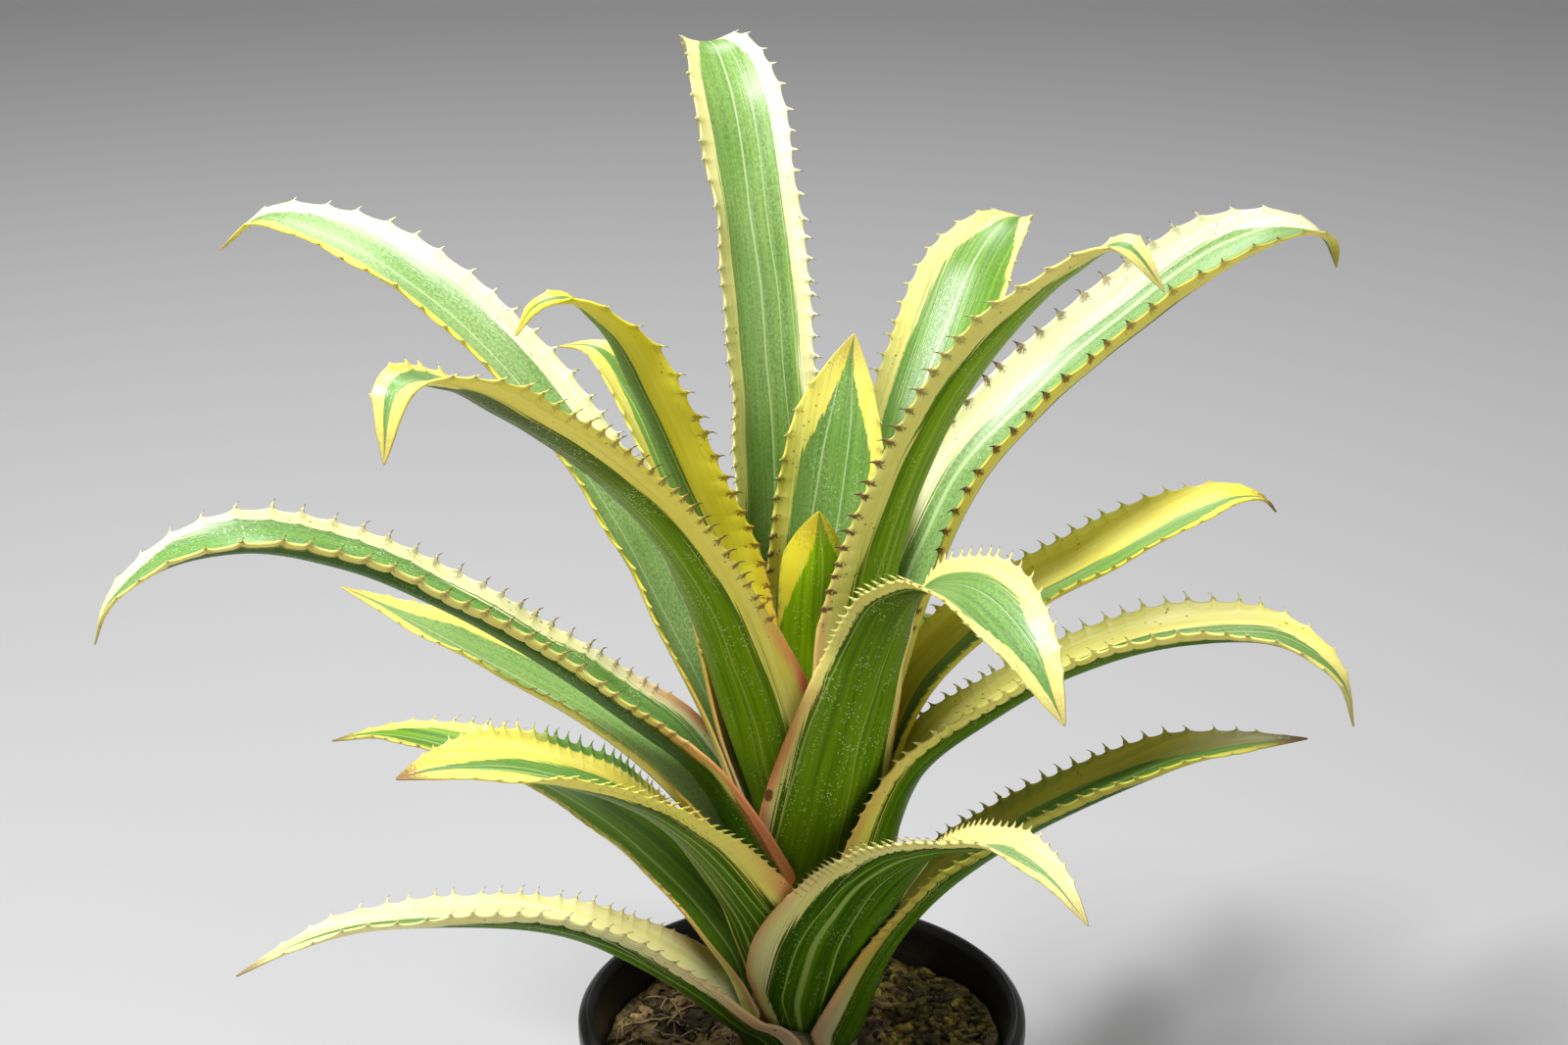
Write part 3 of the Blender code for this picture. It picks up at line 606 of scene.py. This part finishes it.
def leaf_material(name, leaf, look):
    """Green band between lemon or cream margins, with frost above, flecks below and spots at the spines."""
    paint = Paint(name)
    ramp, mix, _, times, plus = paint.tools()
    minus, gap = paint.minus, paint.gap
    across, along, face, spine, patch = map(paint.value, ("across", "along", "face", "spine", "patch"))
    grain = paint.value("grain", "Vector")
    noise = SimpleNamespace(**{key: paint.noise(grain, *given) for key, given in LEAF_NOISE.items()})
    drift = ramp(noise.drift, 0.3, 0.7, -0.07, 0.07)
    place = plus(across, plus(drift, ramp(noise.streak, 0.25, 0.75, -0.05, 0.05)))
    narrowing = ramp(along, leaf.length - look.fade, leaf.length - 4)

    def stripe(low, high):
        """The green band between two edges, which closes towards the tip, and the zone by its edges."""
        inside = times(ramp(place, low - 0.02, low + 0.02), ramp(place, high + 0.02, high - 0.02))
        closing = ramp(gap(place, (low + high) / 2), (high - low) / 2 + 0.05, 0.02)
        inside = times(inside, ramp(minus(closing, times(narrowing, 0.9)), -0.02, 0.02))
        by_edges = [ramp(gap(place, edge), 0.18, 0.04) for edge in (low, high)]
        return inside, paint.math("MAXIMUM", *by_edges)

    band, close = stripe(*look.green)
    if look.under:
        low_band, low_close = stripe(*look.under)
        band, close = ramp(face, 0.3, 0.7, band, low_band), ramp(face, 0.3, 0.7, close, low_close)
    band = gap(band, times(times(close, ramp(noise.stray, 0.64, 0.67)), 0.6))
    if look.rim:
        edge = times(ramp(across, -0.84, -0.88), ramp(along, leaf.mouth + 40, leaf.mouth + 70))
        band = paint.math("MAXIMUM", band, times(edge, ramp(along, leaf.length - 50, leaf.length - 70)))

    # green: the underside is plain and darker by the margins, the upper side frosted
    tone = ramp(noise.tone, 0.32, 0.68)
    # the lower face's darker green: the leaf's own, and on leaves that lie in shade partly painted shade
    dark_under = blend(UNDER_DARK, look.deep)
    under = mix(tone, dark_under, blend(UNDER_BRIGHT, look.deep))
    # painted shade: the lower face is darkened towards its far end
    if look.dusk:
        far = ramp(along, leaf.length * 0.42, leaf.length * 0.8, 0.0, look.dusk)
        under = mix(far, under, FAR_PAINTED_SHADE)
    under = mix(times(times(close, band), 0.65), under, tuple(c * 0.5 for c in dark_under))
    above = mix(tone, blend(ABOVE_DARK, look.warm), blend(ABOVE_BRIGHT, look.warm))
    # the bloom's share is kept low on leaves that lie in shade, so their upper face is darker, as painted
    # shade
    frost = times(ramp(noise.mottle, 0.38, 0.64, 0.36, 1.1), ramp(noise.broad, 0.3, 0.62, 0.62, 1.0))
    above = mix(times(frost, look.frost), above, FROST)
    specks = times(ramp(paint.dots(grain, SPECK_DOTS), 0.25, 0.15), ramp(noise.specked, 0.42, 0.58))
    under = mix(times(specks, look.flecks), under, FLECK)
    above = mix(times(specks, look.scurf), above, SCURF)
    for centre, half in look.lines:
        line = ramp(gap(plus(across, drift), centre), half * 0.5, half * 1.3, 0.75, 0.0)
        under = mix(line, under, LINE_UNDER)
        above = mix(times(line, 0.8), above, LINE_ABOVE)

    # margins: lemon or cream on each side, with greenish streaks
    hue = ramp(noise.hue, 0.34, 0.66)
    creams = []
    for lemon in np.broadcast_to(look.lemon, 2).tolist():
        ripe = blend(MARGIN_RIPE, lemon)
        cream = mix(hue, blend(MARGIN_PALE, lemon), ripe)
        creams.append(mix(times(face, 0.45), cream, tuple(c * 0.82 for c in ripe)))
    cream = mix(ramp(across, -0.3, 0.3), *creams)
    cream = mix(times(ramp(noise.stained, 0.56, 0.72), 0.3), cream, STAIN)
    # painted shade: the margins are darkened towards a dark olive
    if look.olive:
        cream = mix(ramp(hue, 0.0, 1.0, look.olive, look.olive * 0.6), cream, MARGIN_PAINTED_SHADE)
    colour = mix(band, cream, mix(face, above, under))

    # white sheath with a pink blush at its margins, then freckles, spots, a dry tip and bruises
    low_down = ramp(along, leaf.mouth + 26, leaf.mouth * 0.5 + 2)
    white = times(low_down, ramp(band, 0.5, 0.4))
    colour = mix(times(white, 0.55), colour, SHEATH_WHITE)
    aside = paint.math("ABSOLUTE", across)
    blush = times(ramp(along, leaf.mouth + 62, leaf.mouth + 12),
                  ramp(plus(aside, ramp(noise.broad, 0.3, 0.7, -0.07, 0.07)), 0.78, 0.98))
    colour = mix(times(blush, look.blush), colour, BLUSH)
    freckles = times(ramp(paint.dots(grain, FRECKLE_DOTS), 0.17, 0.1), ramp(noise.freckled, 0.52, 0.6))
    freckles = times(freckles, ramp(aside, 0.45, 0.65))
    colour = mix(times(freckles, 0.7), colour, FRECKLE)
    for centre, reach, half, longer in look.spots:
        sideways = paint.math("DIVIDE", minus(across, centre), half)
        ahead = paint.math("DIVIDE", minus(along, leaf.mouth + reach), longer)
        away = plus(times(sideways, sideways), times(ahead, ahead))
        spot = ramp(plus(away, ramp(noise.mottle, 0.3, 0.7, -0.3, 0.3)), 0.7, 1.3, 0.85, 0.0)
        colour = mix(spot, colour, SPOT)
    near_tip = plus(along, ramp(noise.mottle, 0.3, 0.7, -4.0, 4.0))
    colour = mix(times(ramp(near_tip, leaf.length - 13, leaf.length - 3), look.tip), colour, DRY_TIP)
    bruise = ramp(plus(patch, ramp(noise.mottle, 0.3, 0.7, -0.28, 0.28)), 0.42, 0.75)
    bruised = times(bruise, max(0.0, look.dark - 0.3) * 1.3)
    inward = ramp(along, leaf.length * 0.5, leaf.length * 0.9, 1.0, 0.2)
    colour = mix(times(bruised, inward), colour, BRUISE)
    start = minus(0.62, times(inward, 0.55 * look.dark))
    spiny = ramp(spine, start, plus(start, 0.38))
    colour = mix(spiny, colour, SPINE_BLACK if look.dark > 0.6 else SPINE_BROWN)
    paint.set(Base_Color=colour, Subsurface_Weight=ramp(band, 0.0, 1.0, 0.5, 0.1),
              Subsurface_Radius=(1.0, 1.0, 0.25), Subsurface_Scale=0.0016,
              Specular_IOR_Level=ramp(face, 0.0, 1.0, 0.6, 0.08),
              Roughness=plus(ramp(frost, 0.2, 1.0, 0.32, 0.48), times(specks, 0.1)))
    paint.bump(plus(times(noise.veins, 0.7), times(noise.fine, 0.3)), 0.55, 0.00035)
    return paint.material


def turned(profile, sides):
    """Points and faces of a solid of revolution from a closed profile of (radius, height) points."""
    points, rings, faces = [], [], []
    for radius, height in profile:
        count = sides if radius else 1
        rings.append([len(points) + k % count for k in range(sides + 1)])
        turns = [2 * pi * k / sides for k in range(count)]
        points += [(radius * cos(turn), radius * sin(turn), height) for turn in turns]
    for lower, upper in zip(rings, rings[1:]):
        for k in range(sides):
            corners = list(dict.fromkeys([lower[k], lower[k + 1], upper[k + 1], upper[k]]))
            if len(corners) > 2:
                faces.append(corners)
    return points, faces


def rounded(profile, radius, steps=4):
    """The profile with its inner corners rounded off."""
    result = [profile[0]]
    for corners in zip(profile, profile[1:], profile[2:]):
        a, b, c = (np.array(corner, float) for corner in corners)
        reach = min(radius, 0.45 * np.linalg.norm(a - b), 0.45 * np.linalg.norm(c - b))
        start, end = (b + (p - b) / np.linalg.norm(p - b) * reach for p in (a, c))
        for t in np.linspace(0, 1, steps + 1):
            result.append(tuple((1 - t)**2 * start + 2 * t * (1 - t) * b + t**2 * end))
    return result + [profile[-1]]


def pot_radius(height):
    return POT_BASE + (POT_MOUTH - POT_BASE) * height / POT_HEIGHT


def make_pot():
    """A thin black nursery pot: rolled lip, a moulded band under it, a foot ring and drain holes."""
    lip = POT_HEIGHT - POT_LIP_DROP
    profile = [(0.0, 1.2), (40.0, 1.2), (41.5, 0.0), (POT_BASE - 1.0, 0.0), (pot_radius(2), 2.0),
               (pot_radius(78), 78.0), (pot_radius(79) + 0.8, 79.2), (pot_radius(82) + 0.8, 81.6),
               (pot_radius(83), 83.0), (pot_radius(lip), lip), (POT_RIM - 0.5, lip),
               (POT_RIM, lip + 2.0), (POT_RIM, POT_HEIGHT - 2.4), (POT_RIM - 2.6, POT_HEIGHT),
               (pot_radius(POT_HEIGHT) - POT_WALL, POT_HEIGHT - 2.0), (pot_radius(90) - POT_WALL, 90.0),
               (pot_radius(5) - POT_WALL, 5.0), (pot_radius(3) - POT_WALL - 2.5, POT_FLOOR), (0.0, POT_FLOOR)]
    shell = show("pot_shell", new_mesh("pot_shell", *turned(rounded(profile, POT_ROUNDING), POT_SIDES)))
    drill = [(0.0, -3.0), (DRAIN_RADIUS, -3.0), (DRAIN_RADIUS, 6.0), (0.0, 6.0)]
    points, faces = turned(drill, DRAIN_SIDES)
    cutters = []
    for k in range(DRAIN_HOLES):
        turn = 2 * pi * (k + 0.5) / DRAIN_HOLES
        centre = np.array([DRAIN_RING * cos(turn), DRAIN_RING * sin(turn), 0.0])
        bit = bpy.data.meshes.new("drill")
        bit.from_pydata(((np.array(points) + centre) * MM).tolist(), [], faces)
        cutters.append(show(f"drill_{k}", bit))
        cut = shell.modifiers.new(f"drain_{k}", "BOOLEAN")
        cut.operation = "DIFFERENCE"
        cut.object = cutters[-1]
    bpy.context.view_layer.update()
    made = bpy.data.meshes.new_from_object(shell.evaluated_get(bpy.context.evaluated_depsgraph_get()))
    shell.modifiers.clear()
    shell.data = made
    for cutter in cutters:
        bpy.data.objects.remove(cutter)
    made.shade_smooth()
    made.set_sharp_from_angle(angle=POT_SHARP_ANGLE)
    made.materials.clear()
    made.materials.append(pot_material())
    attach(shell, "root")
    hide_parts("pot")


def pot_material():
    """Black polypropylene with fine scratches, pale dust and dried splashes of the potting mix."""
    paint = Paint("pot plastic")
    ramp, mix, noise, times, plus = paint.tools()
    at = paint.place()
    broad = noise(at, (28.0, 28.0, 40.0), 4.0, 0.6)
    fine = noise(at, 420.0, 3.0, 0.6)
    dust = times(ramp(broad, 0.42, 0.7), ramp(fine, 0.35, 0.65, 0.4, 1.0))
    colour = mix(times(dust, 0.3), (0.01, 0.01, 0.011), (0.12, 0.105, 0.085))
    splash = times(ramp(paint.dots(at, 150.0), 0.2, 0.12), ramp(noise(at, 45.0), 0.54, 0.62))
    near_rim = ramp(paint.parts(at)["Z"], 0.06, 0.108, 0.25, 1.0)
    colour = mix(times(times(splash, near_rim), 0.8), colour, (0.075, 0.048, 0.025))
    paint.set(Base_Color=colour, Specular_IOR_Level=0.38,
              Roughness=plus(ramp(dust, 0.0, 1.0, 0.36, 0.62), times(splash, 0.25)))
    scratches = noise(at, (90.0, 90.0, 900.0), 3.0, 0.6)
    paint.bump(plus(times(scratches, 0.4), times(splash, 0.5)), 0.35, 0.0004)
    return paint.material


def soil_surface(x, y):
    """The height of the crumbly top: a mound at the right, lower at the left, level at the stem."""
    radius, angle = np.hypot(x, y), np.arctan2(y, x)
    mound = ease(radius, STEM_FOOT + 4.0, STEM_FOOT + 16.0)
    lumps = 0.5 * np.sin(angle + 0.6) * np.cos(2 * angle) + 0.35 * np.sin(3 * angle + radius * 0.12)
    flat = SOIL_TOP + SOIL_SWELL * mound * (0.35 * np.cos(angle + 0.5) + 0.45 * lumps)
    rough = ease(radius, STEM_FOOT + 1.0, STEM_FOOT + 6.0)
    clods = fractal(Vector((x * 0.11, y * 0.11, 3.1)), 0.8, 2.1, 4)
    crumbs = fractal(Vector((x * 0.45, y * 0.45, 9.7)), 0.9, 2.1, 3)
    return float(flat + rough * (1.5 * clods + 0.7 * crumbs))


def soil_material():
    """Dark peat with brown, black and mossy crumbs."""
    paint = Paint("potting mix")
    ramp, mix, noise, times, plus = paint.tools()
    at = paint.place()
    crumb = noise(at, 300.0, 5.0, 0.7)
    clod = noise(at, 90.0, 3.0, 0.6)
    colour = mix(ramp(crumb, 0.35, 0.68), (0.016, 0.01, 0.004), (0.3, 0.2, 0.07))
    colour = mix(times(ramp(clod, 0.52, 0.7), 0.7), colour, (0.42, 0.29, 0.11))
    parts = paint.parts(at)
    right = times(ramp(parts["X"], 0.018, 0.04), ramp(parts["Z"], 0.088, 0.094))
    moss = times(right, ramp(noise(at, 130.0, 4.0, 0.7), 0.46, 0.6))
    colour = mix(times(moss, 0.75), colour, (0.52, 0.4, 0.065))
    colour = mix(paint.dry(at), DAMP, colour)
    paint.set(Base_Color=colour, Roughness=ramp(crumb, 0.3, 0.7, 0.95, 0.75), Specular_IOR_Level=0.3)
    paint.bump(plus(crumb, times(clod, 0.6)), 0.9, 0.0012)
    return paint.material


def make_soil():
    """The mix as one closed solid with a crumbly top and a plain hole for the stem."""
    turns = np.arange(SOIL_SIDES) * 2 * pi / SOIL_SIDES
    hole, floor = STEM_FOOT + SOIL_PLAY, POT_FLOOR + SOIL_PLAY
    rim = pot_radius(SOIL_TOP) - POT_WALL - 0.9
    foot = pot_radius(floor + 3.0) - POT_WALL - SOIL_PLAY
    rings = [(foot - 3.0, floor), (foot, floor + 3.0)]
    rings += [(radius, None) for radius in np.linspace(rim, hole, SOIL_RINGS)]
    rings.append((hole, SOIL_TOP - SOIL_HOLE_DEPTH))
    points = []
    for radius, height in rings:
        for x, y in [(radius * cos(a), radius * sin(a)) for a in turns]:
            points.append((x, y, soil_surface(x, y) if height is None else height))
    faces = tube(0, len(rings), SOIL_SIDES)
    faces.append(tuple(range(len(points) - SOIL_SIDES, len(points))))
    faces.append(tuple(range(SOIL_SIDES))[::-1])
    piece = add_piece("potting_mix_top", points, faces, soil_material(), {})
    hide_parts("potting_mix")


def lump(chance, size, jag, detail=1):
    """Points and faces of one rough crumb of the given half sizes."""
    shape = bmesh.new()
    bmesh.ops.create_icosphere(shape, subdivisions=detail, radius=1.0)
    points = np.array([v.co for v in shape.verts])
    faces = [tuple(v.index for v in f.verts) for f in shape.faces]
    shape.free()
    points *= 1 + chance.uniform(-jag, jag, (len(points), 1))
    for _ in range(3):
        normal = chance.normal(size=3)
        normal /= np.linalg.norm(normal)
        over = np.maximum(points @ normal - chance.uniform(0.45, 0.8), 0)
        points -= over[:, None] * normal
    return points * np.array(size), faces


def scatter(chance, count, inner, outer, centre=None, spread=None):
    """Places on the mix between two radii, or round a centre."""
    places = []
    while len(places) < count:
        if centre is None:
            radius = np.sqrt(chance.uniform(inner**2, outer**2))
            angle = chance.uniform(0, 2 * pi)
            x, y = radius * cos(angle), radius * sin(angle)
        else:
            x, y = chance.normal(centre, spread)
        if inner <= np.hypot(x, y) <= outer:
            places.append((x, y))
    return places


def about_z(angle):
    return np.array([[cos(angle), -sin(angle), 0], [sin(angle), cos(angle), 0], [0, 0, 1]])


def turn_matrix(chance, tilt):
    """A random turn round Z after a random tilt of up to the given angle."""
    a, b, c = chance.uniform(0, 2 * pi), chance.uniform(-tilt, tilt), chance.uniform(0, 2 * pi)
    tipped = np.array([[1, 0, 0], [0, cos(b), -sin(b)], [0, sin(b), cos(b)]])
    return about_z(a) @ tipped @ about_z(c)


def make_crumbs():
    """Bark chips, peat crumbs and moss that lie half sunk in the top of the mix."""
    chance = np.random.default_rng(CRUMB_SEED)
    outer = pot_radius(SOIL_TOP) - POT_WALL - 3.0
    inner = STEM_FOOT + 6.0
    strewn = [scatter(chance, count, inner, outer, *cluster) for _, count, cluster, *_ in CRUMBS]
    for (name, _, _, longest, widths, heights, jag, detail), places in zip(CRUMBS, strewn):
        points, faces, tints, base = [], [], [], 0
        for x, y in places:
            size = chance.uniform(*longest)
            half_sizes = size, size * chance.uniform(*widths), size * chance.uniform(*heights)
            body, shell = lump(chance, half_sizes, jag, detail)
            body = body @ turn_matrix(chance, CRUMB_TILT).T
            body += (x, y, soil_surface(x, y) + CRUMB_RISE * size * chance.uniform(*heights))
            reach = np.hypot(body[:, 0], body[:, 1])
            body[:, :2] *= np.minimum(1.0, (outer + 2.0) / np.maximum(reach, 1e-6))[:, None]
            points.append(body)
            faces += [tuple(k + base for k in face) for face in shell]
            tints.append(np.full(len(body), chance.uniform()))
            base += len(body)
        add_piece(name, np.concatenate(points), faces, crumb_material(name),
                  {"tint": np.concatenate(tints)}, smooth=name == "moss_tufts")


def crumb_material(name):
    """Bark with fibres, black peat or yellow-green moss; each lump has its own tint."""
    paint = Paint(name.replace("_", " "))
    ramp, mix, noise, times, _ = paint.tools()
    at, tint = paint.place(), paint.value("tint")
    fine = noise(at, (900.0, 900.0, 500.0), 4.0, 0.7)
    dark, middle, light = CRUMB_COLOURS[name]
    colour = mix(ramp(tint, 0.1, 0.9), dark, middle)
    lit = times(ramp(fine, 0.42, 0.68), ramp(tint, 0.2, 1.0, 0.25, 0.9))
    colour = mix(paint.dry(at), DAMP, mix(lit, colour, light))
    paint.set(Base_Color=colour, Roughness=ramp(fine, 0.3, 0.7, 0.9, 0.7), Specular_IOR_Level=0.3)
    paint.bump(fine, 0.8, 0.0006)
    return paint.material


def make_fibres():
    """Straw-coloured roots and straw that lie on the mix."""
    chance = np.random.default_rng(FIBRE_SEED)
    outer = pot_radius(SOIL_TOP) - POT_WALL - 4.0
    inner = STEM_FOOT + 5.0
    starts = scatter(chance, 48, inner, outer, (-46, 14), (12, 22)) + scatter(chance, 30, inner, outer)
    points, faces, tints = [], [], []
    for x, y in starts:
        heading, bend = chance.uniform(0, 2 * pi), chance.uniform(-0.05, 0.05)
        length, radius = chance.uniform(7, 24), chance.uniform(0.16, 0.42)
        pace = length / (FIBRE_STEPS - 1)
        middle, flat = [], np.array([x, y], float)
        for k in range(FIBRE_STEPS):
            arch = radius * 0.9 + 0.6 * sin(pi * k / (FIBRE_STEPS - 1))
            middle.append((*flat, soil_surface(*flat) + arch))
            flat = flat + np.array([cos(heading), sin(heading)]) * pace
            heading += bend * pace
            reach = np.hypot(*flat)
            flat *= min(max(reach, inner), outer) / reach
        middle = np.array(middle)
        ahead = unit(np.gradient(middle, axis=0))
        aside = unit(np.cross(ahead, (0, 0, 1.0)))
        above = np.cross(aside, ahead)
        base = len(points)
        for k in range(FIBRE_STEPS):
            slim = radius * (0.55 + 0.45 * sin(pi * (k + 0.6) / FIBRE_STEPS))
            points += [middle[k] + aside[k] * slim * cos(turn) + above[k] * slim * 0.6 * sin(turn)
                       for turn in TUBE_TURNS]
        faces += tube(base, FIBRE_STEPS)
        faces.append(tuple(range(base, base + TUBE_SIDES))[::-1])
        faces.append(tuple(range(len(points) - TUBE_SIDES, len(points))))
        tints += [chance.uniform()] * (TUBE_SIDES * FIBRE_STEPS)
    paint = Paint("straw")
    ramp, mix, noise, times, _ = paint.tools()
    at, tint = paint.place(), paint.value("tint")
    fine = noise(at, 700.0, 3.0, 0.6)
    colour = mix(tint, (0.16, 0.085, 0.032), (0.5, 0.35, 0.15))
    colour = mix(times(ramp(fine, 0.5, 0.7), 0.6), colour, (0.11, 0.055, 0.02))
    paint.set(Base_Color=colour, Roughness=ramp(fine, 0.3, 0.7, 0.7, 0.5))
    paint.bump(fine, 0.5, 0.0004)
    add_piece("straw_fibres", points, faces, paint.material, {"tint": tints})


def dress_stem():
    """The hidden stem keeps its shape and gets a fibrous surface with leaf scars."""
    paint = Paint("stem skin")
    ramp, mix, noise, times, plus = paint.tools()
    at = paint.place()
    fibre, scars = noise(at, (420.0, 420.0, 60.0), 3.0, 0.6), noise(at, (12.0, 12.0, 240.0))
    colour = mix(ramp(fibre, 0.35, 0.65), (0.26, 0.25, 0.1), (0.44, 0.42, 0.22))
    colour = mix(times(ramp(scars, 0.55, 0.65), 0.6), colour, (0.12, 0.075, 0.03))
    paint.set(Base_Color=colour, Roughness=ramp(fibre, 0.3, 0.7, 0.8, 0.6))
    paint.bump(plus(fibre, scars), 0.6, 0.0006)
    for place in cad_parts["stem"].material_slots:
        place.material = paint.material


def make_stage():
    """A pale floor that curves up into a backdrop, soft lights and the photograph's camera."""
    bend = [(1.9 + 1.1 * sin(a), 1.1 - 1.1 * cos(a)) for a in np.linspace(0, pi / 2, 48)]
    points, faces = [], []
    for y, z in [(-FLOOR_REACH, 0.0), (0.0, 0.0), *bend, (3.0, 4.0)]:
        points += [(-FLOOR_REACH, y, z - FLOOR_DROP), (FLOOR_REACH, y, z - FLOOR_DROP)]
    for k in range(0, len(points) - 2, 2):
        faces.append((k, k + 1, k + 3, k + 2))
    mesh = bpy.data.meshes.new("floor")
    mesh.from_pydata(points, [], faces)
    mesh.shade_smooth()
    paint = Paint("floor")
    paint.set(Base_Color=FLOOR_COLOUR, Roughness=0.9, Specular_IOR_Level=0.2)
    mesh.materials.append(paint.material)
    floor = show("floor", mesh)
    for name, place, aim, power, wide, tall in LAMPS:
        light = bpy.data.lights.new(name, "AREA")
        light.shape, light.size, light.size_y, light.energy = "ELLIPSE", wide, tall, power
        lamp = show(name, light)
        lamp.location = place
        lamp.rotation_euler = (Vector(aim) - Vector(place)).to_track_quat("-Z", "Y").to_euler()
    world = bpy.data.worlds.new("studio")
    world.use_nodes = True
    glow = world.node_tree.nodes["Background"].inputs
    glow["Color"].default_value = (1.0, 1.0, 1.0, 1.0)
    glow["Strength"].default_value = WORLD_LIGHT
    bpy.context.scene.world = world
    bpy.context.scene.view_settings.view_transform = "Standard"
    lens = bpy.data.cameras.new("camera")
    lens.lens, lens.sensor_width, lens.sensor_fit = CAMERA_LENS, CAMERA_SENSOR, "HORIZONTAL"
    camera = show("camera", lens)
    camera.location, camera.rotation_euler = CAMERA_PLACE, (CAMERA_TILT, 0.0, 0.0)
    bpy.context.scene.camera = camera


for index, (name, *sizes) in enumerate(LEAVES):
    look = SimpleNamespace(**{**USUAL, **LOOKS[index + 1]})
    fine_leaf(index, name, Leaf(index, *sizes[:8], sizes[8:]), look)
make_pot()
make_soil()
make_crumbs()
make_fibres()
dress_stem()
make_stage()
bpy.context.view_layer.update()
